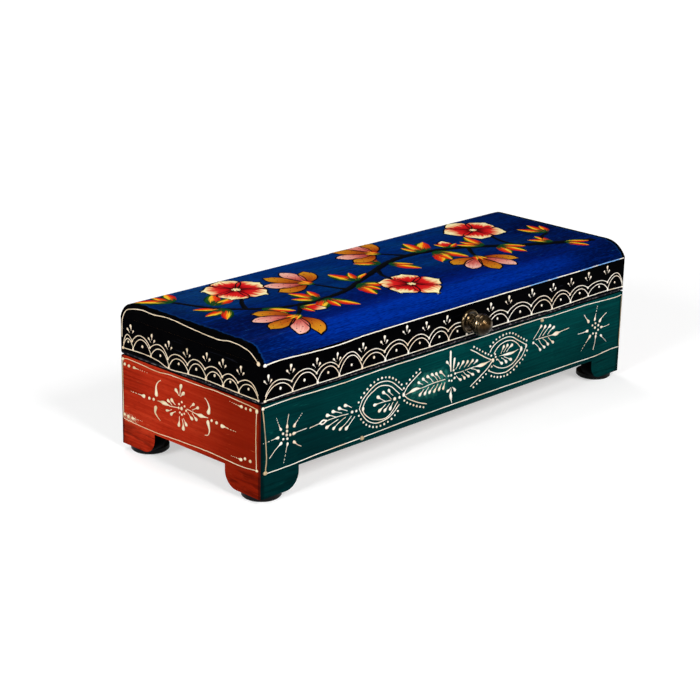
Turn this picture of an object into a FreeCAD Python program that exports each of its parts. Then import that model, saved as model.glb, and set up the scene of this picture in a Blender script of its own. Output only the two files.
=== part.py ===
import FreeCAD, Part
import math
import os
import Sketcher
from types import SimpleNamespace

# A painted wooden jewellery box on bracket feet, with a hinged lid and a turned brass knob.
# X runs along the length, Y from front to back and Z up. The origin is on the surface that
# the box stands on, under the middle of its boards. Sizes are in millimetres, angles in degrees.

SIZES = {
    # Base of the box
    "box_length": 300.0,
    "box_depth": 110.0,
    "base_height": 51.0,
    "board": 8.0,
    "apron_height": 12.2,
    "foot_width": 27.0,
    "foot_round": 9.0,
    "floor_rise": 2.0,
    "floor_thickness": 5.0,
    "floor_play": 0.2,
    "groove_depth": 4.0,
    "lining_thickness": 1.5,
    "lining_play": 0.5,
    "block_leg": 10.0,
    "pad_radius": 10.5,
    "pad_inset": 10.5,
    "pad_thickness": 3.0,
    "pad_edge": 0.8,
    # Lid
    "seam": 0.8,
    "rail_height": 20.7,
    "top_thickness": 9.0,
    "crown_front": 16.0,
    "crown_back": 12.0,
    "open_angle": 105.0,
    "bevel_gap": 0.3,
    # Hinges, measured from the pin
    "hinge_inset": 55.0,
    "hinge_length": 26.0,
    "pin_inset": 0.5,
    "pin_radius": 0.9,
    "pin_fit": 0.02,
    "pin_play": 0.06,
    "barrel_radius": 1.8,
    "barrel_play": 0.35,
    "knuckle_play": 0.3,
    "leaf_width": 6.0,
    "leaf_thickness": 0.9,
    "leaf_gap": 0.2,
    "recess_play": 0.1,
    # Hinge screws
    "screw_spacing": 15.0,
    "screw_reach": 3.9,
    "screw_length": 8.0,
    "screw_radius": 0.8,
    "screw_head_radius": 1.5,
    # Knob on the front of the lid, measured outwards from the face that it stands on
    "knob_offset": 6.8,
    "knob_rise": 10.6,
    "rose_radius": 6.9,
    "rose_top_radius": 4.4,
    "rose_rim": 0.8,
    "rose_thickness": 2.2,
    "neck_radius": 2.8,
    "neck_length": 1.2,
    "collar_radius": 3.9,
    "collar_width": 1.2,
    "collar_bulge": 0.4,
    "ball_radius": 5.8,
    "ball_sink": 0.6,
    "bead_height": 0.35,
    "bolt_radius": 1.5,
    "bolt_play": 0.2,
    "bolt_grip": 5.0,
    "bolt_tip_gap": 0.6,
    "bolt_head_radius": 3.0,
    "bolt_head": 2.0,
    "bolt_head_edge": 0.8,
    "bolt_slot_width": 0.8,
    "bolt_slot_depth": 0.8,
    "washer_radius": 4.5,
    "washer_thickness": 0.8,
}

# Beads round the ball of the knob, between two angles from the tip of its axis
BEAD_COUNT = 5
BEADS_FROM_DEG = 150.0
BEADS_TO_DEG = 14.0


class Size:
    """A length known both as an expression of the sheet's cells and as a number."""

    def __init__(self, text, value):
        self.text = text
        self.value = value

    def join(self, sign, other, value):
        return Size(f"({self.text} {sign} {as_size(other).text})", value)

    def __add__(self, other):
        return self.join("+", other, self.value + as_size(other).value)

    def __sub__(self, other):
        return self.join("-", other, self.value - as_size(other).value)

    def __mul__(self, other):
        return self.join("*", other, self.value * as_size(other).value)

    def __truediv__(self, other):
        return self.join("/", other, self.value / as_size(other).value)

    def __rmul__(self, other):
        return as_size(other) * self

    def __neg__(self):
        return Size(f"(-1 * {self.text})", -self.value)


def as_size(number):
    return number if isinstance(number, Size) else Size(repr(float(number)), float(number))


def root(size):
    return Size(f"sqrt({size.text})", math.sqrt(size.value))


def tangent(degrees):
    return Size(f"tan({degrees.text} * 1 deg)", math.tan(math.radians(degrees.value)))


def polar(radius, degrees):
    """The two legs of a radius that leans the given angle away from the second axis."""
    sine = Size(f"sin({degrees!r} deg)", math.sin(math.radians(degrees)))
    cosine = Size(f"cos({degrees!r} deg)", math.cos(math.radians(degrees)))
    return radius * sine, radius * cosine


doc = FreeCAD.newDocument("jewellery_box")
sheet = doc.addObject("Spreadsheet::Sheet", "Dims")
for row, (name, number) in enumerate(SIZES.items(), start=1):
    sheet.set(f"A{row}", name)
    sheet.set(f"B{row}", str(number))
    sheet.setAlias(f"B{row}", name)
doc.recompute()

d = SimpleNamespace(**{name: Size(f"Dims.{name}", number) for name, number in SIZES.items()})
zero = as_size(0)

# Heights and places that several pieces share
rim_z = d.pad_thickness + d.base_height
lid_z = rim_z + d.seam
floor_z = d.pad_thickness + d.apron_height + d.floor_rise
pin_y = d.box_depth / 2 - d.pin_inset
pin_z = rim_z + d.seam / 2
leaf_face = d.leaf_gap / 2
leaf_seat = leaf_face + d.leaf_thickness
knuckle = d.hinge_length / 3
hinge_x = d.box_length / 2 - d.hinge_inset
knob_seat = d.rose_thickness
bolt_bore = d.bolt_radius + d.bolt_play

nodes = []


def keep(thing, label):
    """Name a finished piece, which is written out under that name."""
    thing.Label = label
    nodes.append(thing)
    return thing


def bind(thing, **sizes):
    for prop, size in sizes.items():
        thing.setExpression(prop, as_size(size).text)


def place(thing, x=0, y=0, z=0, axis=(0, 0, 1), turn=0):
    rotation = FreeCAD.Rotation(FreeCAD.Vector(*axis), turn)
    thing.Placement = FreeCAD.Placement(FreeCAD.Vector(), rotation)
    for letter, size in zip("xyz", (x, y, z)):
        thing.setExpression(f"Placement.Base.{letter}", as_size(size).text)
    return thing


def new_body(name):
    return doc.addObject("PartDesign::Body", name)


def new_sketch(body, name, plane, offset=None):
    sketch = body.newObject("Sketcher::SketchObject", name)
    support = next(f for f in body.Origin.OriginFeatures if f.Role == plane)
    sketch.AttachmentSupport = (support, [""])
    sketch.MapMode = "FlatFace"
    if offset is not None:
        sketch.setExpression("AttachmentOffset.Base.z", offset.text)
    return sketch


def fix(sketch, name, kind, *references, size):
    index = sketch.addConstraint(Sketcher.Constraint(kind, *references, size.value))
    sketch.renameConstraint(index, name)
    sketch.setExpression(f"Constraints.{name}", size.text)


def arc_between(start, end, radius):
    """An arc of under a half circle that bulges outwards from a counter-clockwise loop."""
    chord = end - start
    height = math.sqrt(radius * radius - chord.Length * chord.Length / 4)
    inwards = FreeCAD.Vector(-chord.y, chord.x, 0).normalize()
    centre = (start + end) / 2 + inwards * height
    angles = [math.atan2(p.y - centre.y, p.x - centre.x) for p in (start, end)]
    if angles[1] < angles[0]:
        angles[1] += 2 * math.pi
    circle = Part.Circle(centre, FreeCAD.Vector(0, 0, 1), radius)
    return Part.ArcOfCircle(circle, *angles)


def draw(body, name, plane, *loops, offset=None):
    """Sketch counter-clockwise loops of corners (across, up), each bound to the sheet.

    A corner with a third entry starts an arc of that radius, which leads to the next corner.
    """
    sketch = new_sketch(body, name, plane, offset)
    first = 0
    for loop in loops:
        points = [FreeCAD.Vector(as_size(c[0]).value, as_size(c[1]).value, 0) for c in loop]
        for start, end, corner in zip(points, points[1:] + points[:1], loop):
            if len(corner) > 2:
                sketch.addGeometry(arc_between(start, end, corner[2].value))
            else:
                sketch.addGeometry(Part.LineSegment(start, end))
        for i, corner in enumerate(loop):
            this, after = first + i, first + (i + 1) % len(loop)
            sketch.addConstraint(Sketcher.Constraint("Coincident", this, 2, after, 1))
            fix(sketch, f"across{this}", "DistanceX", -1, 1, this, 1, size=as_size(corner[0]))
            fix(sketch, f"up{this}", "DistanceY", -1, 1, this, 1, size=as_size(corner[1]))
            if len(corner) > 2:
                fix(sketch, f"radius{this}", "Radius", this, size=corner[2])
        first += len(loop)
    return sketch


def draw_circle(body, name, plane, across, up, radius, offset=None):
    sketch = new_sketch(body, name, plane, offset)
    centre = FreeCAD.Vector(as_size(across).value, as_size(up).value, 0)
    sketch.addGeometry(Part.Circle(centre, FreeCAD.Vector(0, 0, 1), radius.value))
    fix(sketch, "across", "DistanceX", -1, 1, 0, 3, size=as_size(across))
    fix(sketch, "up", "DistanceY", -1, 1, 0, 3, size=as_size(up))
    fix(sketch, "radius", "Radius", 0, size=radius)
    return sketch


def rectangle(left, low, right, high):
    return [(left, low), (right, low), (right, high), (left, high)]


def feature(body, kind, name, sketch, length, symmetric, reverse):
    made = body.newObject(kind, name)
    made.Profile = sketch
    made.Reversed = reverse
    if symmetric:
        made.SideType = "Symmetric"
    if length is None:
        made.Type = "ThroughAll"
    else:
        made.setExpression("Length", length.text)
    return made


def pad(body, name, sketch, length, symmetric=False, reverse=False):
    return feature(body, "PartDesign::Pad", name, sketch, length, symmetric, reverse)


def pocket(body, name, sketch, length=None, symmetric=False, reverse=False):
    return feature(body, "PartDesign::Pocket", name, sketch, length, symmetric, reverse)


def turned(name, profile):
    """A body turned from a profile of (radius, height) about its own Z axis."""
    body = new_body(name)
    sketch = draw(body, f"{name}_profile", "XZ_Plane", profile)
    revolution = body.newObject("PartDesign::Revolution", f"{name}_turning")
    revolution.Profile = sketch
    revolution.ReferenceAxis = (sketch, ["V_Axis"])
    revolution.Angle = 360
    return body


def carve(name, thing, *tools):
    """Cut each tool in turn from a piece."""
    for tool in tools:
        cut = doc.addObject("Part::Cut", f"{name}_cut")
        cut.Base = thing
        cut.Tool = tool
        thing = cut
    return thing


def copies(label, original, places):
    """A group of linked copies of one piece, each placed by its own place arguments."""
    group = doc.addObject("Part::Compound", label)
    links = []
    for where in places:
        link = doc.addObject("App::Link", f"{label}_copy")
        link.LinkedObject = original
        links.append(place(link, **where))
    group.Links = links
    return group


# Boards of the base and rails of the lid

def bracket_outline(length):
    """The face of a base board: two bracket feet with quarter-round toes, and the apron between."""
    half = length / 2
    foot = half - d.foot_width
    toe = foot + d.foot_round
    return [
        (-half, zero),
        (-toe, zero, d.foot_round),
        (-foot, d.foot_round),
        (-foot, d.apron_height),
        (foot, d.apron_height),
        (foot, d.foot_round, d.foot_round),
        (toe, zero),
        (half, zero),
        (half, d.base_height),
        (-half, d.base_height),
    ]


def mitred_board(name, length, outline):
    """A board with its outer face at Y = 0, its middle at X = 0 and its ends mitred."""
    body = new_body(name)
    pad(body, f"{name}_board", draw(body, f"{name}_outline", "XZ_Plane", outline), d.board, reverse=True)
    half = length / 2
    over = d.board
    deep = 2 * d.board
    right = [(half + over, -over), (half + over, deep), (half - deep, deep)]
    left = [(-half - over, -over), (deep - half, deep), (-half - over, deep)]
    mitres = draw(body, f"{name}_mitres", "XY_Plane", left, right)
    pocket(body, f"{name}_mitre_cut", mitres, symmetric=True)
    return body


def base_board(name, length):
    body = mitred_board(name, length, bracket_outline(length))
    low = d.apron_height + d.floor_rise
    slot = rectangle(d.board - d.groove_depth, low, 2 * d.board, low + d.floor_thickness + d.floor_play)
    pocket(body, f"{name}_groove", draw(body, f"{name}_slot", "YZ_Plane", slot), symmetric=True)
    return body


def lid_rail(name, length):
    return mitred_board(name, length, rectangle(-length / 2, zero, length / 2, d.rail_height))


SIDES = {
    "front": dict(y=-d.box_depth / 2, turn=0),
    "right": dict(x=d.box_length / 2, turn=90),
    "back": dict(y=d.box_depth / 2, turn=180),
    "left": dict(x=-d.box_length / 2, turn=-90),
}
RUNS = {"front": d.box_length, "right": d.box_depth, "back": d.box_length, "left": d.box_depth}
CORNERS = {
    "front_left": (-1, -1, 0),
    "front_right": (1, -1, 90),
    "back_right": (1, 1, 180),
    "back_left": (-1, 1, 270),
}


# Hinges: three knuckles on a pin, with a leaf let into the base and another into the lid

screw = turned("hinge_screw", [
    (zero, -d.screw_length),
    (d.screw_radius, -d.screw_length),
    (d.screw_radius, d.screw_radius - d.screw_head_radius),
    (d.screw_head_radius, zero),
    (zero, zero),
])

HINGES = {"left": -1, "right": 1}


def hinge_screws(label, level):
    """The screws of both leaves on one side of the pin, heads towards it: level -1 is the base's."""
    places = []
    for side in HINGES.values():
        for end in (-1, 1):
            places.append(dict(
                x=side * hinge_x + end * (d.screw_spacing / 2),
                y=pin_y - d.screw_reach,
                z=pin_z + level * leaf_face,
                axis=(1, 0, 0),
                turn=90 + 90 * level,
            ))
    return keep(copies(label, screw, places), label)


base_screws = hinge_screws("hinge_base_screws", -1)
lid_screws = hinge_screws("hinge_lid_screws", 1)


def hinge_leaf(name, level):
    """A leaf with its barrel about the X axis, cleared where the other leaf's knuckles turn."""
    body = new_body(name)
    low, high = (-leaf_seat, -leaf_face) if level < 0 else (leaf_face, leaf_seat)
    plate = draw(body, f"{name}_plate", "YZ_Plane", rectangle(-d.leaf_width, low, zero, high))
    pad(body, f"{name}_leaf", plate, d.hinge_length, symmetric=True)
    barrel = draw_circle(body, f"{name}_round", "YZ_Plane", 0, 0, d.barrel_radius)
    pad(body, f"{name}_barrel", barrel, d.hinge_length, symmetric=True)
    clear = d.barrel_radius + d.barrel_play
    if level < 0:
        gap = draw_circle(body, f"{name}_gap", "YZ_Plane", 0, 0, clear)
        pocket(body, f"{name}_notch", gap, knuckle + 2 * d.knuckle_play, symmetric=True)
    else:
        for end in (-1, 1):
            gap = draw_circle(body, f"{name}_gap", "YZ_Plane", 0, 0, clear, offset=end * (knuckle / 2))
            pocket(body, f"{name}_notch", gap, reverse=end > 0)
    bore = d.pin_radius + (d.pin_fit if level < 0 else d.pin_play)
    hole = draw_circle(body, f"{name}_hole", "YZ_Plane", 0, 0, bore)
    pocket(body, f"{name}_bore", hole, symmetric=True)
    return body


def hinge_recess(name):
    """The room that a closed hinge takes up in the wood of the base and the lid."""
    body = new_body(name)
    length = d.hinge_length + 2 * d.recess_play
    leaves = rectangle(-d.leaf_width - d.recess_play, -leaf_seat, d.board, leaf_seat)
    pad(body, f"{name}_leaves", draw(body, f"{name}_leaf_room", "YZ_Plane", leaves), length, symmetric=True)
    barrel = draw_circle(body, f"{name}_barrel_room", "YZ_Plane", 0, 0, d.barrel_radius + d.barrel_play)
    pad(body, f"{name}_barrel", barrel, length, symmetric=True)
    return body


def rear_bevel():
    """The wedge behind the pin that lets the lid lean back until the bevelled edges meet."""
    body = new_body("rear_bevel")
    rise = (d.board + d.bevel_gap) * tangent(d.open_angle / 2)
    wedge = draw(body, "wedge", "YZ_Plane", [(-d.bevel_gap, zero), (d.board, -rise), (d.board, rise)])
    pad(body, "wedge_length", wedge, d.box_length + 2 * d.board, symmetric=True)
    return place(body, y=pin_y, z=pin_z)


bevel = rear_bevel()
recesses = []
for side, sign in HINGES.items():
    where = dict(x=sign * hinge_x, y=pin_y, z=pin_z)
    recesses.append(place(hinge_recess(f"{side}_recess"), **where))
    for part, level, screws in (("base", -1, base_screws), ("lid", 1, lid_screws)):
        name = f"{side}_hinge_{part}_leaf"
        leaf = place(hinge_leaf(f"{name}_blank", level), **where)
        keep(carve(name, leaf, screws), name)
    pin = doc.addObject("Part::Cylinder", f"{side}_pin")
    bind(pin, Radius=d.pin_radius, Height=d.hinge_length)
    start = dict(where, x=where["x"] - d.hinge_length / 2)
    keep(place(pin, **start, axis=(0, 1, 0), turn=90), f"{side}_hinge_pin")


# Base: four boards, the bottom board in their grooves, the lining, corner blocks and pads

for side, spot in SIDES.items():
    blank = place(base_board(f"{side}_base", RUNS[side]), **spot, z=d.pad_thickness)
    tools = {"front": [], "back": [bevel, *recesses, base_screws]}.get(side, [bevel])
    keep(carve(f"{side}_panel", blank, *tools), f"{side}_panel")


def slab(label, length, depth, thickness, z):
    box = doc.addObject("Part::Box", label)
    bind(box, Length=length, Width=depth, Height=thickness)
    return keep(place(box, x=-length / 2, y=-depth / 2, z=z), label)


tongue = 2 * (d.groove_depth - d.floor_play - d.board)
slab("bottom_board", d.box_length + tongue, d.box_depth + tongue, d.floor_thickness, floor_z)
inset = 2 * (d.board + d.lining_play)
lining_z = floor_z + d.floor_thickness
slab("floor_lining", d.box_length - inset, d.box_depth - inset, d.lining_thickness, lining_z)


def corner_block(name):
    body = new_body(name)
    triangle = [(zero, zero), (d.block_leg, zero), (zero, d.block_leg)]
    end_face = draw(body, f"{name}_face", "XY_Plane", triangle)
    pad(body, f"{name}_block", end_face, d.apron_height + d.floor_rise)
    return body


for corner, (side, face, turn) in CORNERS.items():
    block = corner_block(f"{corner}_glue")
    block_x = side * (d.box_length / 2 - d.board)
    block_y = face * (d.box_depth / 2 - d.board)
    keep(place(block, x=block_x, y=block_y, z=d.pad_thickness, turn=turn), f"foot_block_{corner}")
    disc = turned(f"{corner}_disc", [
        (zero, zero),
        (d.pad_radius - d.pad_edge, zero),
        (d.pad_radius, d.pad_edge),
        (d.pad_radius, d.pad_thickness),
        (zero, d.pad_thickness),
    ])
    pad_x = side * (d.box_length / 2 - d.pad_inset)
    pad_y = face * (d.box_depth / 2 - d.pad_inset)
    keep(place(disc, x=pad_x, y=pad_y), f"foot_pad_{corner}")


# Lid: four rails under a plank whose long edges are rounded over

for side, spot in SIDES.items():
    blank = lid_rail(f"{side}_rail", RUNS[side])
    if side == "front":
        hole = draw_circle(blank, "knob_hole", "XZ_Plane", d.knob_offset, d.knob_rise, bolt_bore)
        pocket(blank, "knob_hole_cut", hole, symmetric=True)
    place(blank, **spot, z=lid_z)
    tools = {"front": [], "back": [bevel, *recesses, lid_screws]}.get(side, [bevel])
    keep(carve(f"lid_{side}_rail", blank, *tools), f"lid_{side}_rail")


def crown_run(radius):
    """How far in from the edge a rounding of this radius meets the flat of the plank."""
    rest = radius - d.top_thickness
    return root(radius * radius - rest * rest)


def lid_plank():
    body = new_body("lid_plank")
    half = d.box_depth / 2
    section = draw(body, "plank_section", "YZ_Plane", [
        (-half, zero),
        (half, zero, d.crown_back),
        (half - crown_run(d.crown_back), d.top_thickness),
        (crown_run(d.crown_front) - half, d.top_thickness, d.crown_front),
    ])
    pad(body, "plank", section, d.box_length, symmetric=True)
    return place(body, z=lid_z + d.rail_height)


keep(lid_plank(), "lid_top")


# Knob: a rose against the lid, a turned knob with a beaded ball, and a bolt from inside

def knob_profile():
    neck_top = knob_seat + d.neck_length
    collar_top = neck_top + d.collar_width
    collar_edge = d.collar_radius - d.collar_bulge
    centre = collar_top + d.ball_radius - d.ball_sink
    step = (BEADS_FROM_DEG - BEADS_TO_DEG) / BEAD_COUNT
    beads = []
    for i in range(2 * BEAD_COUNT + 1):
        radius = d.ball_radius + d.bead_height if i % 2 else d.ball_radius
        across, up = polar(radius, BEADS_FROM_DEG - step * i / 2)
        beads.append((across, centre + up))
    bottom = knob_seat + d.bolt_grip + d.bolt_tip_gap
    return [
        (d.bolt_radius, knob_seat),
        (d.neck_radius, knob_seat),
        (d.neck_radius, neck_top),
        (collar_edge, neck_top),
        (d.collar_radius, neck_top + d.collar_width / 2),
        (collar_edge, collar_top),
        *beads,
        (zero, centre + d.ball_radius),
        (zero, bottom),
        (d.bolt_radius, bottom),
    ]


def rose_profile():
    return [
        (bolt_bore, zero),
        (d.rose_radius, zero),
        (d.rose_radius, d.rose_rim),
        (d.rose_top_radius, d.rose_thickness),
        (bolt_bore, d.rose_thickness),
    ]


def washer_profile(seat):
    return rectangle(bolt_bore, seat, d.washer_radius, seat + d.washer_thickness)


def bolt_profile(seat):
    bottom = seat - d.bolt_head
    return [
        (zero, bottom),
        (d.bolt_head_radius - d.bolt_head_edge, bottom),
        (d.bolt_head_radius, bottom + d.bolt_head_edge),
        (d.bolt_head_radius, seat),
        (d.bolt_radius, seat),
        (d.bolt_radius, knob_seat + d.bolt_grip),
        (zero, knob_seat + d.bolt_grip),
    ]


def slotted_bolt(seat):
    body = turned("bolt", bolt_profile(seat))
    reach = 2 * d.bolt_head_radius
    half = d.bolt_slot_width / 2
    slot = draw(body, "slot", "XY_Plane", rectangle(-reach, -half, reach, half), offset=seat - d.bolt_head)
    pocket(body, "slot_cut", slot, d.bolt_slot_depth, reverse=True)
    return body


washer_seat = -d.board - d.washer_thickness
knob_place = dict(
    x=d.knob_offset,
    y=-d.box_depth / 2,
    z=lid_z + d.knob_rise,
    axis=(1, 0, 0),
    turn=90,
)
keep(place(turned("rose", rose_profile()), **knob_place), "knob_rose")
keep(place(turned("ball_knob", knob_profile()), **knob_place), "knob")
keep(place(turned("washer", washer_profile(washer_seat)), **knob_place), "knob_washer")
keep(place(slotted_bolt(washer_seat), **knob_place), "knob_screw")


# Every feature has to work, and every cut has to take something away, before a file is written

doc.recompute()
for thing in doc.Objects:
    if "Invalid" in thing.State or "Error" in thing.State:
        raise RuntimeError(f"{thing.Label} failed: {thing.State}")
    if thing.TypeId == "PartDesign::Pocket" and not thing.Shape.Volume < thing.BaseFeature.Shape.Volume:
        raise RuntimeError(f"{thing.Label} cuts nothing")
    if thing.TypeId == "Part::Cut" and not thing.Shape.Volume < Part.getShape(thing.Base).Volume:
        raise RuntimeError(f"{thing.Label} cuts nothing")
for thing in nodes:
    if thing.Shape.isNull() or not thing.Shape.isValid() or not thing.Shape.Solids:
        raise RuntimeError(f"{thing.Label} has no valid solid")

os.makedirs("parts", exist_ok=True)
for thing in nodes:
    thing.Shape.exportStep(f"parts/{thing.Label}.step")
    print(thing.Label, len(thing.Shape.Solids), round(thing.Shape.Volume, 2))
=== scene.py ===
import math
import random

import bmesh
import bpy
from mathutils import Matrix, Vector, geometry, noise


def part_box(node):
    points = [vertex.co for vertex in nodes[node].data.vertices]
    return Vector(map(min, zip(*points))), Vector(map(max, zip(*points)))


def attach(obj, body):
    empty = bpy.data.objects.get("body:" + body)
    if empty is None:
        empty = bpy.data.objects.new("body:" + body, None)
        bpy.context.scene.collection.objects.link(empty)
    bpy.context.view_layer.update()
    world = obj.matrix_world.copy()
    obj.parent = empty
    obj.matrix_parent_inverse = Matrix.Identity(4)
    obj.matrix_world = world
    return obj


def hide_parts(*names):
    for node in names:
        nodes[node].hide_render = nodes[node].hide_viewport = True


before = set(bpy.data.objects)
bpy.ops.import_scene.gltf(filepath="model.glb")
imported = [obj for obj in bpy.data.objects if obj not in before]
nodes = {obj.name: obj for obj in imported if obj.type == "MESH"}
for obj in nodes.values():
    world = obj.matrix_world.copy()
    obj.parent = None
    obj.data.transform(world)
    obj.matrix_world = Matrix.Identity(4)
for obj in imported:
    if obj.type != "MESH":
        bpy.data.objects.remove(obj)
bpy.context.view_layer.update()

# A painted jewellery box: brushed paint on its boards, raised cone-work piped over the paint, a floral
# scroll on the lid and a turned knob. Drawings on a face are in millimetres, materials in metres.

MM = 0.001
UP = Vector((0, 0, 1))
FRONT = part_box("front_panel")[0].y / MM
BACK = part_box("back_panel")[1].y / MM
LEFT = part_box("left_panel")[0].x / MM
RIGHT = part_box("right_panel")[1].x / MM
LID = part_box("lid_front_rail")[0].z / MM
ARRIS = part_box("lid_top")[0].z / MM
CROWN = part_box("lid_top")[1].z / MM
# radii of the lid's roundings, and the thickness of a board
CROWN_FRONT = 16.0
CROWN_BACK = 12.0
BOARD = 8.0
LONG_SIDES = ("front", "back")


# Camera, floor and light

CAMERA_PLACE = (-0.7431, -0.6912, 0.3750)
CAMERA_AZIMUTH = -45.88
CAMERA_ELEVATION = 18.49
CAMERA_ROLL = 1.21
CAMERA_LENS = 95.55
WORLD_LIGHT = 0.06
FLOOR_REACH = 12
LAMP_DISTANCE = 1.4
# name, azimuth (0 stands in front, -90 to the left), elevation, size and power
LAMPS = (
    ("key", -9, 36, 0.45, 14.0),
    ("left_fill", -84, 26, 0.40, 12.0),
    ("back_top", 160, 58, 0.60, 7.0),
    ("low_fill", 9, 8, 0.25, 2.0),
)


def turn(degrees, axis):
    return Matrix.Rotation(math.radians(degrees), 4, axis)


def add_object(name, data):
    thing = bpy.data.objects.new(name, data)
    bpy.context.scene.collection.objects.link(thing)
    return thing


def add_mesh(name, mesh, material):
    """An object of a finished mesh."""
    data = bpy.data.meshes.new(name)
    mesh.to_mesh(data)
    mesh.free()
    data.materials.append(material)
    return add_object(name, data)


def make_camera():
    data = bpy.data.cameras.new("camera")
    data.lens = CAMERA_LENS
    camera = add_object("camera", data)
    aim = turn(CAMERA_AZIMUTH, "Z") @ turn(90 - CAMERA_ELEVATION, "X") @ turn(CAMERA_ROLL, "Z")
    camera.matrix_world = Matrix.Translation(CAMERA_PLACE) @ aim
    bpy.context.scene.camera = camera


def make_lamp(name, azimuth, elevation, size, power):
    """A square lamp aimed at the middle of the box."""
    data = bpy.data.lights.new(name, "AREA")
    data.size = size
    data.energy = power
    lamp = add_object(name, data)
    middle = Matrix.Translation((0, 0, CROWN / 2 * MM))
    aim = turn(azimuth, "Z") @ turn(90 - elevation, "X")
    lamp.matrix_world = middle @ aim @ Matrix.Translation((0, 0, LAMP_DISTANCE))


def make_world():
    world = bpy.data.worlds.new("studio")
    world.use_nodes = True
    background = world.node_tree.nodes["Background"]
    background.inputs["Color"].default_value = (1, 1, 1, 1)
    background.inputs["Strength"].default_value = WORLD_LIGHT
    bpy.context.scene.world = world


def make_floor():
    mesh = bmesh.new()
    bmesh.ops.create_grid(mesh, x_segments=1, y_segments=1, size=FLOOR_REACH)
    add_mesh("floor", mesh, floor_finish())


# Node materials, put together from short steps

def srgb(red, green, blue):
    """A colour as it is seen on a screen, from 0 to 255, as the linear one that shaders use."""
    def linear(level):
        level /= 255
        return level / 12.92 if level <= 0.04045 else ((level + 0.055) / 1.055) ** 2.4
    return (linear(red), linear(green), linear(blue), 1.0)


class Finish:
    """A material under construction: its colour so far, and steps that give each other sockets."""

    def __init__(self, name):
        self.data = bpy.data.materials.new(name)
        self.data.use_nodes = True
        self.tree = self.data.node_tree
        self.shader = self.tree.nodes["Principled BSDF"]
        self.colour = None

    def feed(self, socket, value):
        if isinstance(value, bpy.types.NodeSocket):
            self.tree.links.new(value, socket)
        else:
            socket.default_value = value

    def node(self, kind, inputs=(), **settings):
        made = self.tree.nodes.new(kind)
        for key, value in settings.items():
            setattr(made, key, value)
        for key, value in dict(inputs).items():
            self.feed(made.inputs[key], value)
        return made

    def set(self, **inputs):
        """Set the shader's own sockets, named with _ for a space."""
        for key, value in inputs.items():
            self.feed(self.shader.inputs[key.replace("_", " ")], value)

    def place(self):
        return self.node("ShaderNodeTexCoord").outputs["Object"]

    def facing(self, direction):
        """How far a surface faces a direction of the piece itself, from -1 to 1."""
        normal = self.node("ShaderNodeTexCoord").outputs["Normal"]
        product = self.node("ShaderNodeVectorMath", {0: normal, 1: direction}, operation="DOT_PRODUCT")
        return product.outputs["Value"]

    def axis(self, letter):
        return self.node("ShaderNodeSeparateXYZ", {0: self.place()}).outputs[letter]

    def from_edge(self, letter, reach):
        """How far in from the nearer of two edges, which stand a reach (in millimetres) from the middle."""
        return self.math("SUBTRACT", reach * MM, self.math("ABSOLUTE", self.axis(letter)))

    def attribute(self, name):
        return self.node("ShaderNodeAttribute", attribute_name=name).outputs["Fac"]

    def noise(self, across, axis="", along=0, detail=3.0, shift=0.0):
        """Noise with so many features a metre, and another number of them along one axis."""
        scale = tuple(along if letter == axis else across for letter in "XYZ")
        return self.noise_at(self.place(), scale, detail, shift)

    def noise_at(self, place, scale, detail=3.0, shift=0.0):
        ends = {"Vector": place, "Location": (shift,) * 3, "Scale": scale}
        mapped = self.node("ShaderNodeMapping", ends).outputs[0]
        ends = {"Vector": mapped, "Scale": 1.0, "Detail": detail}
        return self.node("ShaderNodeTexNoise", ends).outputs["Fac"]

    def math(self, operation, a, b=0.0):
        return self.node("ShaderNodeMath", {0: a, 1: b}, operation=operation).outputs[0]

    def add(self, a, b):
        return self.math("ADD", a, b)

    def times(self, a, b):
        return self.math("MULTIPLY", a, b)

    def uneven(self, value, noise, size):
        """A value moved up and down by noise, by a size from its lowest to its highest."""
        return self.add(value, self.times(self.add(noise, -0.5), size))

    def between(self, value, low, high, start=0.0, end=1.0):
        """A smooth step from start to end while the value goes from low to high."""
        ends = {"Value": value, "From Min": low, "From Max": high, "To Min": start, "To Max": end}
        return self.node("ShaderNodeMapRange", ends, interpolation_type="SMOOTHSTEP").outputs[0]

    def patchy(self, noise, low, high):
        """A number that goes from low to high by noise."""
        return self.between(noise, 0.3, 0.7, low, high)

    def ramp(self, value, stops):
        """A colour by value; stops are pairs of a value from 0 to 1 and a colour."""
        made = self.node("ShaderNodeValToRGB", {0: value})
        elements = made.color_ramp.elements
        while len(elements) < len(stops):
            elements.new(0.5)
        for element, (position, colour) in zip(elements, stops):
            element.position = position
            element.color = colour
        return made.outputs["Color"]

    def mix(self, share, a, b):
        return self.node("ShaderNodeMix", {0: share, 6: a, 7: b}, data_type="RGBA").outputs[2]

    def veil(self, value, low, high, share, shade, *within):
        """Lay a shade over the colour so far, up to a share of it while the value goes from low to high."""
        amount = self.between(value, low, high, 0, share)
        for limit in within:
            amount = self.times(amount, limit)
        self.colour = self.mix(amount, self.colour, shade)

    def done(self, gloss, roughness, bump, **inputs):
        """The material in its last colour; bump is a height, a strength and a distance."""
        self.set(Base_Color=self.colour, Specular_IOR_Level=gloss, Roughness=roughness, **inputs)
        ends = dict(zip(("Height", "Strength", "Distance"), bump))
        self.set(Normal=self.node("ShaderNodeBump", ends).outputs[0])
        return self.data


# length and width of the fine and the broad streaks that a brush leaves
STREAKS = ((0.05, 0.0011), (0.09, 0.006))
PAINT_GLOSS = 0.004
DOWN = (0, 0, -1)
BLACK = [(0.30, srgb(0, 0, 1)), (0.55, srgb(1, 1, 2)), (0.75, srgb(9, 9, 13))]
JET = BLACK[0][1]
WOOD = [(0.3, srgb(118, 80, 48)), (0.5, srgb(150, 108, 68)), (0.7, srgb(172, 130, 86))]
PORE = srgb(84, 54, 32)


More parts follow.
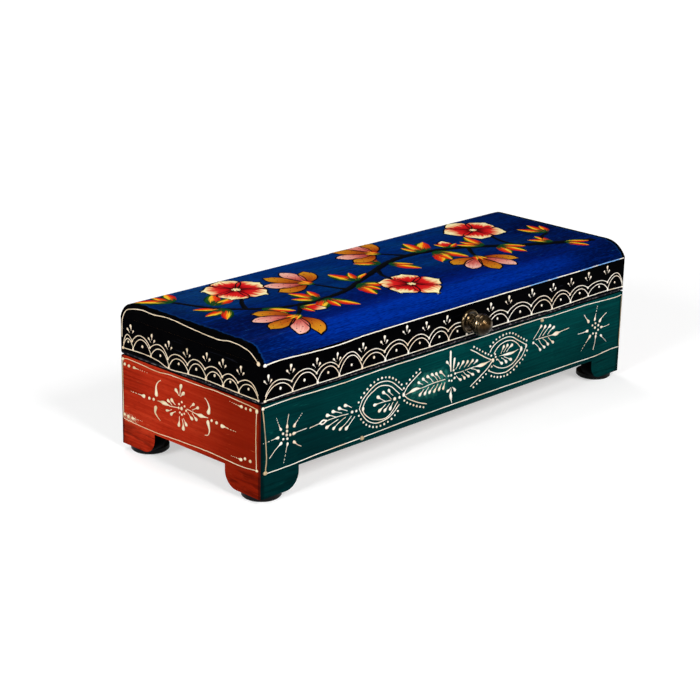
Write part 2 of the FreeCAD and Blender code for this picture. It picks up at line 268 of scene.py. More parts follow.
def brush_grain(paint, along, shift):
    """Fine streaks, broad streaks, and their blend with slow patches, for a brush drawn along an axis."""
    fine, broad = (paint.noise(1 / wide, along, 1 / long, shift=shift) for long, wide in STREAKS)
    slow = paint.add(paint.times(broad, 0.20), paint.times(paint.noise(28, shift=shift + 5), 0.35))
    return fine, broad, paint.add(paint.times(fine, 0.45), slow)


def wood_rings(paint, along):
    return paint.noise(420, along, 14, detail=5.0, shift=3)


def wood_colour(paint, along):
    """Planed softwood with its grain along an axis."""
    pores = paint.noise(2400, along, 70, detail=2.0, shift=6)
    colour = paint.ramp(wood_rings(paint, along), WOOD)
    return paint.mix(paint.between(pores, 0.58, 0.70, 0, 0.55), colour, PORE)


def board_paint(name, side, tones, painted_shade, fleck, shift, wear):
    """Brushed paint on a board's outer face, with painted shade darker to one end, black edges and bare
    wood inside.
    """
    paint = Finish(name)
    along = "X" if side in LONG_SIDES else "Y"
    fine, broad, tone = brush_grain(paint, along, shift)
    deep = tones[0][1]
    start, end, depth = painted_shade
    paint.colour = paint.ramp(tone, tones)
    # painted shade: the board darkens towards one end, as the light falls off along it
    paint.veil(paint.axis(along), start * MM, end * MM, depth, deep)
    dashes = paint.noise(900, along, 110, shift=shift + 9)
    paint.veil(dashes, 0.66, 0.76, 0.35, fleck)
    hairs = paint.noise(2600, along, 260, shift=shift + 3)
    paint.veil(hairs, 0.52, 0.72, 0.65, deep)
    height = paint.axis("Z")
    smears = paint.noise(380, along, 50, detail=4.0, shift=shift + 12)
    paint.veil(smears, 0.48, 0.60, 0.45, JET, paint.between(height, 0.0165, 0.0145))
    wear(paint)
    scuffs = paint.noise(240, detail=5.0, shift=shift + 2)
    low_edge = paint.between(height, 0.012, 0.003, 0, 0.22)
    paint.veil(scuffs, paint.math("SUBTRACT", 0.74, low_edge), 0.84, 0.6, JET)
    face = paint.facing(SIDES[side][2])
    paint.colour = paint.mix(paint.between(face, 0.5, 0.85), paint.ramp(tone, BLACK), paint.colour)
    paint.veil(face, -0.5, -0.9, 1, wood_colour(paint, along))
    return paint.done(PAINT_GLOSS, paint.patchy(broad, 0.40, 0.55), (fine, 0.22, 0.00012))


def ragged_edges(paint, along, reach, width, shade):
    """Paint that runs out unevenly beside a board's upright corners."""
    ragged = paint.uneven(paint.from_edge(along, reach), paint.noise(200, "Z", 90), 0.0024)
    paint.veil(ragged, width, 0.0012, 0.7, shade)


def ragged_oval(paint, axes, centre, reach, scale):
    """The square of the distance from an oval's centre in its own radii, made uneven."""
    across, up = (paint.times(paint.add(paint.axis(a), -c), 1 / r) for a, c, r in zip(axes, centre, reach))
    distance = paint.add(paint.times(across, across), paint.times(up, up))
    return paint.add(distance, paint.times(paint.noise(scale, detail=5.0), 1.5))


def low_shade_and_dark_corners(paint):
    """Painted shade that deepens the paint downwards, and a ragged strip of near black beside the corners
    of a long side.
    """
    # painted shade: the teal darkens towards the feet, as light from above falls off
    paint.veil(paint.axis("Z"), 0.046, 0.018, 0.50, srgb(0, 25, 28))
    ragged_edges(paint, "X", RIGHT, 0.0032, srgb(0, 14, 16))


def wiped_front(paint):
    """Low painted shade and dark corners, and a paler patch where a first spray was wiped off and painted
    over.
    """
    patch = ragged_oval(paint, "XZ", (-0.023, 0.0355), (0.021, 0.0088), 210)
    wisps = paint.between(paint.noise(330, "Z", 520, shift=4), 0.46, 0.60, 0.2, 0.75)
    paint.veil(patch, 1.75, 1.05, 1, srgb(52, 130, 116), wisps)
    low_shade_and_dark_corners(paint)


def plain_end(paint):
    ragged_edges(paint, "Y", BACK, 0.0022, srgb(40, 10, 8))


def smudged_end(paint):
    """Cream paste smeared off the frame at the lower back corner of an end."""
    smudge = ragged_oval(paint, "YZ", (0.049, 0.0190), (0.015, 0.0050), 1100)
    paint.veil(smudge, 0.95, 0.70, 0.7, srgb(200, 176, 142))
    plain_end(paint)


TEAL = [(0.34, srgb(0, 38, 40)), (0.50, srgb(0, 59, 59)), (0.66, srgb(1, 77, 75))]
TEAL_PAINTED_SHADE = (RIGHT, LEFT, 0.50)
TEAL_FLECK = srgb(20, 104, 96)
ORANGE = [(0.34, srgb(120, 24, 6)), (0.50, srgb(169, 41, 19)), (0.66, srgb(190, 59, 32))]
ORANGE_PAINTED_SHADE = (18.0, -42.0, 0.85)
ORANGE_FLECK = srgb(210, 104, 62)
BOARDS = (
    ("green_front", "front", TEAL, TEAL_PAINTED_SHADE, TEAL_FLECK, 0, wiped_front),
    ("green_back", "back", TEAL, TEAL_PAINTED_SHADE, TEAL_FLECK, 20, low_shade_and_dark_corners),
    ("orange_left", "left", ORANGE, ORANGE_PAINTED_SHADE, ORANGE_FLECK, 1, smudged_end),
    ("orange_right", "right", ORANGE, ORANGE_PAINTED_SHADE, ORANGE_FLECK, 21, plain_end),
)


def black_paint(name, along, wear=None):
    """Black paint, with what wear a function adds."""
    paint = Finish(name)
    fine, broad, tone = brush_grain(paint, along, 4)
    paint.colour = paint.ramp(tone, BLACK)
    if wear:
        wear(paint)
    return paint.done(PAINT_GLOSS, paint.patchy(broad, 0.42, 0.58), (fine, 0.2, 0.0001))


def worn_band(paint):
    """Scratches, pale worn specks along the band's lower edge, and bare wood in the lid's hollow."""
    upright = paint.between(paint.facing(DOWN), 0.9, 0.5)
    height = paint.axis("Z")
    scratches = paint.noise(50, "Z", 1500, detail=2.0, shift=6)
    paint.veil(scratches, 0.68, 0.76, 0.5, srgb(34, 36, 46))
    paint.veil(height, (LID + 1.5) * MM, (LID + 0.6) * MM, 0.8, srgb(30, 32, 40), upright)
    edge = paint.times(paint.between(height, (LID + 1.6) * MM, (LID + 0.5) * MM, 0, 0.30), upright)
    specks = paint.noise(380, "Z", 900)
    paint.veil(specks, paint.math("SUBTRACT", 0.76, edge), 0.76, 0.7, srgb(146, 138, 138))
    depth = paint.math("MINIMUM", paint.from_edge("X", RIGHT), paint.from_edge("Y", BACK))
    paint.veil(depth, (BOARD - 0.4) * MM, (BOARD - 0.2) * MM, 1, wood_colour(paint, "X"), upright)


NAVY = srgb(0, 12, 54)
# tones across the lid from front to back: the paint's own change of tone with painted light on it, brighter
# on the roundings and in painted shade on the flat
LID_TONES_AND_PAINTED_LIGHT = [
    (0.020, srgb(0, 39, 136)), (0.037, srgb(0, 28, 118)), (0.065, srgb(0, 19, 96)),
    (0.115, srgb(0, 16, 83)), (0.240, srgb(0, 19, 82)), (0.370, srgb(0, 27, 83)),
    (0.500, srgb(0, 32, 88)), (0.760, srgb(0, 27, 85)), (0.950, srgb(0, 41, 102)),
]


def lid_tones_and_painted_light(paint):
    """Ultramarine, bright over the front rounding and deep behind it, which is painted light as well as the
    paint's own tones; scumbled paler further back.
    """
    x, y = paint.axis("X"), paint.axis("Y")
    depth = paint.uneven(y, paint.noise(26, "X", 16, shift=2), 0.02)
    # painted light as well as paint: the ramp across the crown lights the roundings and shades the flat
    # behind the front one
    paint.colour = paint.ramp(paint.between(depth, FRONT * MM, BACK * MM), LID_TONES_AND_PAINTED_LIGHT)
    speckle = paint.between(paint.noise(1400, "X", 500, shift=21), 0.40, 0.62, 0.35, 1.0)
    scumble = paint.noise(34, "X", 18, shift=11)
    paint.veil(scumble, 0.48, 0.64, 0.7, srgb(2, 56, 100), paint.between(y, -0.032, -0.010), speckle)
    paint.veil(x, -0.050, -0.120, 0.8, srgb(18, 68, 110), paint.between(y, -0.005, 0.030), speckle)
    patches = paint.noise(40, "X", 22, detail=4.0, shift=14)
    paint.veil(paint.uneven(paint.from_edge("X", RIGHT), patches, 0.06), 0.050, 0.002, 0.75, NAVY)
    paint.veil(x, 0.04, 0.145, 0.5, NAVY)
    low_front = paint.between(y, -0.041, -0.047)
    paint.veil(x, -0.080, -0.128, 0.45, srgb(0, 8, 44), low_front)
    paint.veil(x, 0.090, 0.120, 0.65, srgb(0, 8, 44), low_front)
    paint.veil(paint.axis("Z"), 0.0800, 0.0765, 0.5, NAVY)
    behind, before = paint.between(y, -0.038, -0.028), paint.between(y, 0.006, -0.014)
    paint.veil(x, -0.080, -0.115, 0.8, srgb(0, 5, 48), behind, before)
    blot = ragged_oval(paint, "XY", (0.138, 0.006), (0.030, 0.016), 160)
    paint.veil(blot, 1.75, 1.05, 0.85, srgb(0, 2, 34))


def lid_paint():
    """Streaky blue on the lid, with black ends and bare wood underneath."""
    paint = Finish("blue_paint")
    fine, broad, _ = brush_grain(paint, "X", 7)
    lid_tones_and_painted_light(paint)
    streaks = paint.add(paint.times(fine, 0.65), paint.times(broad, 0.35))
    paint.veil(streaks, 0.52, 0.36, 0.55, NAVY)
    paint.veil(streaks, 0.54, 0.70, 0.40, srgb(0, 52, 160))
    hairs = paint.noise(2600, "X", 300, shift=17)
    paint.veil(hairs, 0.50, 0.68, 0.55, NAVY)
    paint.veil(hairs, 0.50, 0.34, 0.24, srgb(0, 62, 168))
    scratches = paint.noise(1700, "X", 90, detail=2.0, shift=3)
    paint.veil(scratches, 0.70, 0.78, 0.6, srgb(44, 104, 170))
    ragged = paint.uneven(paint.from_edge("X", RIGHT), paint.noise(260, "X", 60), 0.004)
    paint.veil(ragged, 0.0040, 0.0028, 0.25, srgb(24, 84, 150))
    paint.veil(ragged, 0.0030, 0.0022, 1, BLACK[1][1])
    paint.veil(paint.facing(DOWN), 0.5, 0.9, 1, wood_colour(paint, "X"))
    return paint.done(PAINT_GLOSS, paint.patchy(broad, 0.38, 0.52), (fine, 0.25, 0.00012))


def cone_paint(name, fresh, dull, base, stain=None):
    """Cream relief paste, darker where it meets the board as thinner paste and as painted shade, dulled in
    patches and stained in spots.
    """
    paint = Finish(name)
    patches = paint.noise(90, detail=4.0)
    paint.colour = fresh
    paint.veil(patches, 0.42, 0.66, 1, dull)
    if stain:
        spots = paint.noise(60, detail=2.0, shift=3)
        paint.veil(spots, 0.53, 0.60, 0.9, stain, paint.between(paint.axis("X"), 0.0, 0.02))
    # painted shade in part: the base colour grows where the relief is low, at the paste's foot against the
    # board
    paint.veil(paint.attribute("relief"), 0.6, 0.0, 0.6, base)
    return paint.done(0.20, paint.patchy(patches, 0.42, 0.6), (paint.noise(1500), 0.15, 0.0001))


def stroke_paint(name, stops, across, streak, root=None):
    """A loaded brush's mark on the lid: its colours run across it or along it, in streaks, from a root."""
    paint = Finish(name)
    uv = paint.node("ShaderNodeUVMap", uv_map="stroke").outputs[0]
    along, aside, _ = paint.node("ShaderNodeSeparateXYZ", {0: uv}).outputs
    wild = paint.node("ShaderNodeCombineXYZ", {0: along, 1: aside, 2: paint.attribute("seed")}).outputs[0]
    hairs = paint.noise_at(wild, (2.0, 13.0, 1.0))
    paint.colour = paint.ramp(paint.uneven(aside if across else along, hairs, streak), stops)
    if root:
        paint.veil(paint.uneven(along, hairs, 1.2), 0.42, 0.24, 1, root)
    return paint.done(PAINT_GLOSS, paint.patchy(hairs, 0.36, 0.52), (hairs, 0.2, 0.0001))


def metal(name, worn, patina, shine, lacquer=0.0, bright=1.0):
    """Metal with slow stains, fine turning marks and lacquer, and painted shade on its faces turned down.
    """
    paint = Finish(name)
    stains = paint.noise(90, detail=4.0)
    marks = paint.noise(300, "Y", 4000, detail=2.0)
    paint.colour = worn
    paint.veil(stains, 0.36, 0.66, 1, patina)
    # painted shade: faces turned down are darkened, which keeps them from showing the bright floor
    paint.veil(paint.facing(DOWN), -0.30, 0.20, 0.9, srgb(22, 17, 11))
    paint.set(Metallic=bright, Coat_Weight=lacquer, Coat_Roughness=0.10)
    return paint.done(0.15, paint.patchy(stains, shine, shine + 0.10), (marks, 0.05, 0.0001))


def plain_wood():
    paint = Finish("bare_wood")
    paint.colour = wood_colour(paint, "X")
    return paint.done(0.2, 0.62, (wood_rings(paint, "X"), 0.3, 0.0002))


FELT = [(0.3, srgb(70, 8, 16)), (0.55, srgb(112, 16, 26)), (0.75, srgb(150, 40, 44))]
RUBBER = [(0.35, srgb(3, 3, 4)), (0.6, srgb(8, 8, 10)), (0.8, srgb(24, 23, 25))]


def felt():
    paint = Finish("lining_felt")
    fibres = paint.noise(1500, "Y", 900, detail=5.0)
    paint.colour = paint.ramp(fibres, FELT)
    patches = paint.noise(45, "Y", 30, detail=4.0)
    paint.veil(patches, 0.4, 0.65, 0.6, srgb(78, 8, 18))
    return paint.done(0.1, 0.95, (fibres, 0.6, 0.0003), Sheen_Weight=0.12, Sheen_Roughness=0.5)


def rubber():
    paint = Finish("pad_rubber")
    grain = paint.noise(900, detail=4.0)
    paint.colour = paint.ramp(grain, RUBBER)
    return paint.done(0.1, paint.patchy(grain, 0.4, 0.6), (grain, 0.3, 0.0002))


def floor_finish():
    """A pale floor that takes shadows, with painted light: it glows whiter to the camera and in
    reflections, the more so the farther it is from the box.
    """
    paint = Finish("floor")
    paint.set(Base_Color=paint.mix(paint.noise(3), srgb(200, 200, 200), srgb(206, 206, 206)))
    paint.set(Roughness=0.9, Specular_IOR_Level=0.0, Emission_Color=(1, 1, 1, 1))
    # painted light: a glow for camera, glossy and transmission rays that grows away from the box, making up
    # for the lamps' falloff
    rays = paint.node("ShaderNodeLightPath").outputs
    seen = paint.math("MAXIMUM", rays["Is Camera Ray"], rays["Is Glossy Ray"])
    seen = paint.math("MAXIMUM", seen, rays["Is Transmission Ray"])
    away = paint.node("ShaderNodeVectorMath", {0: paint.place()}, operation="LENGTH").outputs["Value"]
    paint.set(Emission_Strength=paint.times(seen, paint.between(away, 0.15, 1.3, 0.50, 1.0)))
    return paint.data


# Surfaces to draw on. Each turns a point across and up a face, and a height, into a place.

# a point of each side, the way across it and the way out of it
SIDES = {
    "front": (Vector((0, FRONT, 0)), Vector((1, 0, 0)), Vector((0, -1, 0))),
    "right": (Vector((RIGHT, 0, 0)), Vector((0, -1, 0)), Vector((1, 0, 0))),
    "back": (Vector((0, BACK, 0)), Vector((1, 0, 0)), Vector((0, 1, 0))),
    "left": (Vector((LEFT, 0, 0)), Vector((0, -1, 0)), Vector((-1, 0, 0))),
}
# size and rate of a hand's drifts, and the seed of the noise that they follow
DRIFTS = ((0.18, 0.045), (0.10, 0.30))
DRIFT_SEED = 1
noise.seed_set(DRIFT_SEED)


def flat_face(side, seed):
    """A side of the box, with the slow drift of a hand that draws without a ruler."""
    origin, across, out = SIDES[side]

    def lift(point, height):
        drift = Vector((0, 0, 0))
        for size, rate in DRIFTS:
            drift += noise.noise_vector(Vector((point.x * rate, point.y * rate, seed))) * size
        return origin + across * (point.x + drift.x) + UP * (point.y + drift.y) + out * height
    return lift


def rounding(radius):
    """The run of a rounding in from the edge, and the length of its arc."""
    rest = radius - (CROWN - ARRIS)
    return math.sqrt(radius * radius - rest * rest), radius * math.acos(rest / radius)


FRONT_RUN, FRONT_ARC = rounding(CROWN_FRONT)
BACK_RUN = rounding(CROWN_BACK)[0]
FLAT = BACK - FRONT - FRONT_RUN - BACK_RUN


def lid_face(point, height):
    """The lid's top unrolled: X along it, and across it the distance from the front arris."""
    s = point.y
    if s < FRONT_ARC:
        centre, radius, angle = FRONT + FRONT_RUN, CROWN_FRONT, (s - FRONT_ARC) / CROWN_FRONT
    elif s > FRONT_ARC + FLAT:
        centre, radius, angle = BACK - BACK_RUN, CROWN_BACK, (s - FRONT_ARC - FLAT) / CROWN_BACK
    else:
        return Vector((point.x, FRONT + FRONT_RUN + s - FRONT_ARC, CROWN + height))
    reach = radius + height
    return Vector((point.x, centre + reach * math.sin(angle), CROWN - radius + reach * math.cos(angle)))


# Brushwork: beads, dots and marks of paint that stand on a surface as closed shells

STEP = 0.9
SINK = 0.06
CAP_ANGLES = (18, 52)
DOME_ANGLES = (0, 38, 68)
DOT_SIDES = 9
UNSTEADY = 0.16
SHAKE_RATE = 0.3
MARK_SEEDS = 50
DOT_SIZES = (0.88, 1.12)
DROP_SIZES = (0.92, 1.1)
DROP_BEND = 0.06
DROP_TAIL = 0.20
PETAL_SHOULDER = 0.66


def even(t):
    return 1.0


def swell(thin, shape):
    """A width from its thinnest share to 1, by a shape from 0 to 1."""
    return thin + (1 - thin) * shape


def drop(neck):
    """A round head that ends at its neck, a share of the length, and a thin tail beyond."""
    def taper(t):
        return swell(DROP_TAIL, 1 - min(1.0, t / neck) ** 1.5)
    return taper


def curl(t):
    """Broad at its head and slowly thinner to its tail."""
    return swell(0.14, (1 - t) ** 2.0)


def club(t):
    """Blunt, and a little thinner to its tail."""
    return 1 - 0.55 * t ** 1.6


def spindle(t):
    """Thin at both ends."""
    return swell(0.14, math.sin(math.pi * t) ** 2.6)


def petal(t):
    """Narrow at its base, broad near its tip and round there."""
    if t < PETAL_SHOULDER:
        return swell(0.16, math.sin(math.pi / 2 * t / PETAL_SHOULDER))
    return max(0.2, math.sqrt(1 - ((t - PETAL_SHOULDER) / (1 - PETAL_SHOULDER)) ** 2))


def leaf(t):
    """Broad in the middle, with two blunt points."""
    return swell(0.12, math.sin(math.pi * t) ** 0.75)


def smooth_path(points):
    """Points about one step apart along a smooth curve through the given ones."""
    points = [Vector(p) for p in points]
    guides = [2 * points[0] - points[1], *points, 2 * points[-1] - points[-2]]
    path = []
    for before, start, end, after in zip(guides, guides[1:], guides[2:], guides[3:]):
        count = max(3, round((end - start).length / STEP) + 1)
        handles = start + (end - before) / 6, end - (after - start) / 6
        path += geometry.interpolate_bezier(start, *handles, end, count)[:-1]
    return [*path, points[-1]]


def runs(path):
    """The way that a path runs at each of its points."""
    around = zip([path[0], *path], [*path[1:], path[-1]])
    return [(after - before).normalized() for before, after in around]


class Brushwork:
    """One mesh of paint marks. relief is 0 at a mark's edge and 1 at its top."""

    def __init__(self, lift, seed, sides=5, round_top=1.0, rise=0.32):
        self.lift = lift
        self.hand = random.Random(seed)
        self.sides = sides
        self.round_top = round_top
        self.rise = rise
        self.mesh = bmesh.new()
        self.relief = self.mesh.verts.layers.float.new("relief")
        self.mark = self.mesh.verts.layers.float.new("seed")
        self.stroke_uv = self.mesh.loops.layers.uv.new("stroke")
        self.uv = {}

    def vertex(self, point, height, relief, uv, mark):
        vert = self.mesh.verts.new(self.lift(point, height) * MM)
        vert[self.relief] = relief
        vert[self.mark] = mark
        self.uv[vert] = uv
        return vert

    def section(self, point, side, width, height, along, mark):
        ring = []
        for k in range(self.sides + 1):
            angle = math.pi * k / self.sides
            on_edge = k in (0, self.sides)
            relief = 0.0 if on_edge else math.sin(angle) ** self.round_top
            where = point + side * (math.cos(angle) * width / 2)
            level = -SINK if on_edge else relief * height
            ring.append(self.vertex(where, level, relief, (along, 0.5 - math.cos(angle) / 2), mark))
        return ring

    def skin(self, rings):
        for a, b in zip(rings, rings[1:]):
            for k in range(len(a)):
                after = (k + 1) % len(a)
                self.mesh.faces.new((a[k], b[k], b[after], a[after]))
        self.mesh.faces.new(rings[0])
        self.mesh.faces.new(reversed(rings[-1]))

    def stroke(self, points, width, taper=even, height=None):
        """A mark with round ends along a smooth curve through the points."""
        path = smooth_path(points)
        last = len(path) - 1
        mark = self.hand.uniform(0, MARK_SEEDS)
        sections = []
        for i, (point, run) in enumerate(zip(path, runs(path))):
            shake = 1 + UNSTEADY * noise.noise(Vector((point.x * SHAKE_RATE, point.y * SHAKE_RATE, mark)))
            sections.append((point, run, width * taper(i / last) * shake, i / last))
        rings = [self.cap(sections[0], -1, a, height, mark) for a in CAP_ANGLES]
        for point, run, size, along in sections:
            rise = size * self.rise if height is None else height
            rings.append(self.section(point, run.orthogonal(), size, rise, along, mark))
        rings += [self.cap(sections[-1], 1, a, height, mark) for a in reversed(CAP_ANGLES)]
        self.skin(rings)

    def cap(self, end, way, degrees, height, mark):
        """A ring of a stroke's round end."""
        point, run, size, along = end
        angle = math.radians(degrees)
        rise = size * self.rise if height is None else height
        where = point + run * (way * math.cos(angle) * size / 2)
        share = math.sin(angle)
        return self.section(where, run.orthogonal(), size * share, rise * share, along, mark)

    def dot(self, point, width, stretch=1.0, height=None):
        width *= self.hand.uniform(*DOT_SIZES)
        rise = width * self.rise if height is None else height
        rings = []
        for degrees in DOME_ANGLES:
            level = math.sin(math.radians(degrees))
            reach = width / 2 * math.cos(math.radians(degrees))
            ring = []
            for i in range(DOT_SIDES):
                angle = 2 * math.pi * i / DOT_SIDES
                where = Vector(point) + Vector((math.cos(angle) * reach, math.sin(angle) * reach * stretch))
                ring.append(self.vertex(where, level * rise if level else -SINK, level, (0.5, 0.5), 0.0))
            rings.append(ring)
        self.skin(rings)

    def dots(self, points, width):
        for point in points:
            self.dot(point, width)

    def finish(self, name, body, material):
        for face in self.mesh.faces:
            face.smooth = True
            for loop in face.loops:
                loop[self.stroke_uv].uv = self.uv[loop.vert]
        bmesh.ops.recalc_face_normals(self.mesh, faces=self.mesh.faces)
        piece = add_mesh(name, self.mesh, material)
        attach(piece, body)


# Cone-work motifs, in millimetres across a face and up from the table. A drop is given by four numbers:
# the middle of its round head and the end of its tail.

LINE = 0.50
BOLD = LINE * 1.1
THIN = 0.42
DOT = 1.35
NECK = 1.0
DOT_GAP = 2.95
DOT_REACH = 2.15
UNBROKEN = 0.46
DASHES = ((0.58, 0.68), (0.80, 0.87), (0.97, 1.0))


def spaced(path, gap):
    """Points at even distances along a path, from its start."""
    points = [path[0]]
    left = gap
    for start, end in zip(path, path[1:]):
        length = (end - start).length
        done = 0.0
        while length - done >= left:
            done += left
            points.append(start.lerp(end, done / length))
            left = gap
        left -= length - done
    return points


def dots_beside(work, line, reach):
    """Dots at even distances along a line, on its left where the reach is above 0."""
    path = smooth_path(line)
    moved = [point + run.orthogonal() * reach for point, run in zip(path, runs(path))]
    work.dots(spaced(moved, DOT_GAP)[1:], DOT)


def drops(work, width, *marks):
    """Drops of paste."""
    for mark in marks:
        head, tail = Vector(mark[:2]), Vector(mark[2:])
        run = tail - head
        bend = head + run / 2 + run.orthogonal() * work.hand.uniform(-DROP_BEND, DROP_BEND)
        size = width * work.hand.uniform(*DROP_SIZES)
        work.stroke([head, bend, tail], size, drop(min(0.9, NECK * size / run.length)))


def broken_drops(work, width, *marks):
    """Drops whose tails break up into dashes."""
    for mark in marks:
        head, tail = Vector(mark[:2]), Vector(mark[2:])
        drops(work, width, (*head, *head.lerp(tail, UNBROKEN)))
        for start, end in DASHES:
            work.stroke([head.lerp(tail, start), head.lerp(tail, end)], THIN * 0.8)


def oval(work, upper, lower, *inner):
    """A pointed oval: the halves of its outer line, with dots outside them, and of its inner line."""
    for line in (upper, lower, *inner):
        work.stroke(line, BOLD)
    dots_beside(work, upper, DOT_REACH)
    dots_beside(work, lower, -DOT_REACH)


def chevron(work, apex, *arms):
    """Bowed arms from an apex, with dots along their outer sides."""
    for arm in arms:
        across, up = Vector(arm[-1]) - Vector(apex)
        work.stroke([apex, *arm], LINE * 1.15)
        dots_beside(work, [apex, *arm], math.copysign(DOT_REACH, across * up))
    work.dot(apex, 2.0, 1.3)


def stars(work):
    """A star at each end of a long side: drops round a ring of dots."""
    ring = (
        (-132.1, 34), (-131.8, 36), (-134.6, 35.3), (-134.4, 32.3), (-131.6, 31.8), (-129.5, 33.4),
    )
    work.dots(ring, 1.6)
    drops(
        work, 1.7,
        (-131.7, 38.2, -130.6, 44.9), (-127, 33.5, -117.8, 34), (-126.7, 28.8, -121.7, 25.1),
        (-135.9, 30.4, -143.8, 24.3),
    )
    broken_drops(
        work, 1.7,
        (-126.7, 37.6, -121.1, 43.1), (-131.4, 29, -133.9, 19.4), (-138.1, 34, -148.1, 33.4),
        (-136.1, 37.9, -139.2, 44.8),
    )
    ring = (
        (124, 36.2), (121.4, 38.2), (124.3, 39), (127.2, 37.1), (127.3, 34.2), (125.6, 32.3),
        (122.5, 32.9),
    )
    work.dots(ring, 1.6)
    drops(
        work, 1.9,
        (128.4, 39.6, 134.7, 43.5), (130.3, 35.3, 138.1, 35.3), (125.3, 30.6, 123.6, 22.4),
        (116.6, 35.7, 107.8, 35.6), (117.2, 41.5, 112.8, 46.4),
    )
    broken_drops(
        work, 1.7,
        (123.3, 41.5, 125.3, 49.6), (130.5, 30, 136.3, 24.9), (119.6, 31.7, 111.9, 24.3),
    )


def outer_sprays(work):
    """The sprays between the ovals and the stars."""
    work.stroke([(-115.3, 33.5), (-108.5, 34.1)], THIN)
    work.stroke([(-108.5, 34.1), (-105.9, 35.3), (-103.4, 34.4)], 0.95)
    work.stroke([(-108.5, 34.1), (-106.2, 33.2), (-103.4, 34.3)], 0.8)
    work.stroke([(-103.4, 34.3), (-96.3, 34.6), (-87.5, 34.2)], THIN)
    drops(
        work, 2.0,
        (-103, 37.3, -96.9, 34.9), (-98.9, 38.4, -92.2, 35.9), (-94.2, 39, -88.1, 36.1),
        (-89.9, 39.5, -85, 37.1), (-103.3, 30.6, -95, 32.9), (-98.3, 28.7, -89.4, 32.8),
        (-93.4, 27.1, -85, 32.3), (-88.8, 26.3, -82.5, 31.3),
    )
    work.dot((-84.6, 34.5), 2.0)
    work.dot((-81.4, 34.2), 1.5)

    work.dot((65.2, 39.6), 2.1)
    work.stroke([(67.8, 41), (75.6, 40.8), (83.1, 40.6)], THIN)
    work.stroke([(81.4, 40.6), (86.3, 40.6), (91, 40.9)], 2.7, spindle)
    work.stroke([(89.6, 40.8), (98.4, 41.5)], THIN)
    drops(
        work, 1.9,
        (71.9, 48.3, 65.3, 41.8), (75.6, 47.4, 70.3, 41.8), (80, 46.8, 73.8, 42.1),
        (83.8, 45.1, 78.4, 42), (71.9, 33.9, 66.6, 39), (75.8, 34.6, 70.3, 40.3),
        (79, 35.7, 74, 40.3), (83.6, 35.9, 79, 39.9),
    )


def ovals(work):
    """Two pointed ovals, each with a spray inside it and a chevron beside it."""
    oval(
        work,
        [(-79, 35), (-76.9, 39), (-73.1, 42.1), (-68.8, 44.6), (-63.4, 46), (-55, 44.3), (-45.9, 37.4)],
        [(-79, 34.6), (-77.2, 31.5), (-74.1, 27.8), (-70, 24.9), (-64, 23.2), (-55, 24.6), (-48.1, 29.6)],
        [(-76.6, 34.3), (-75.6, 36.6), (-73.1, 39.6), (-68.8, 42.1), (-63.4, 43.8), (-55.6, 42),
         (-48.1, 35.9)],
        [(-76.6, 33.7), (-75, 30.9), (-72, 28.3), (-68.1, 26.1), (-60, 24.4), (-54.6, 26.2), (-49.4, 31.5)],
    )
    work.dot((-76.3, 34.1), 1.9, 1.5)
    drops(
        work, 2.0,
        (-56.6, 39.8, -53.1, 36.2), (-60.8, 39.6, -54.4, 34.3), (-64.9, 38.1, -58.8, 34.1),
        (-67.5, 34.1, -55, 33.9), (-63.6, 29.9, -58.8, 32.4), (-59.4, 29, -55.6, 32.1),
        (-55.2, 29, -52.8, 32.1),
    )
    work.dot((-51.9, 33.9), 2.2)
    work.dot((-48.1, 33.8), 1.8)
    chevron(
        work, (-44.8, 34.5),
        [(-41.3, 38.7), (-35, 42.4), (-31.3, 44.3)],
        [(-40.6, 30.9), (-33.1, 27.1), (-25.9, 24.5)],
    )

    oval(
        work,
        [(26.6, 42.6), (28.2, 44.8), (31.3, 46.7), (36, 48), (41.5, 48.3), (46, 47.3), (50, 45),
         (58.8, 40)],
        [(26.9, 31.2), (31, 29.2), (35.5, 27.8), (41, 27.3), (46, 28.4), (51, 30.9), (55.4, 33.8),
         (58.8, 38.6)],
        [(30.2, 41), (32.4, 43.4), (36, 45.3), (41.3, 46.1), (46, 45.2), (50, 43), (54.2, 39)],
        [(30.2, 34), (33.5, 32), (37.5, 30.6), (42, 30.1), (46.5, 30.9), (50.5, 33.2), (54.2, 37.8)],
    )
    work.dot((54.3, 38.5), 1.9, 1.7)
    work.dot((58.8, 39.3), 1.7, 1.8)
    drops(
        work, 1.9,
        (38.3, 43.3, 36.3, 39.6), (41.6, 43.4, 38.8, 39.9), (45.6, 42.6, 41.3, 39.6),
        (37.5, 33.4, 34.1, 36.5), (41.3, 33.4, 36.9, 36.8), (45.3, 34, 39.4, 37),
    )
    work.stroke([(35, 38.4), (45.5, 37.8), (51.6, 38.7)], 1.8, spindle)
    chevron(
        work, (29.4, 37.1),
        [(22.5, 40.6), (14.4, 45.3), (9.7, 47.9)],
        [(25, 33.4), (16.9, 29), (10.8, 25.9)],
    )
    work.dots(((31.1, 40.3), (31.8, 38.6), (33, 36.8)), DOT)


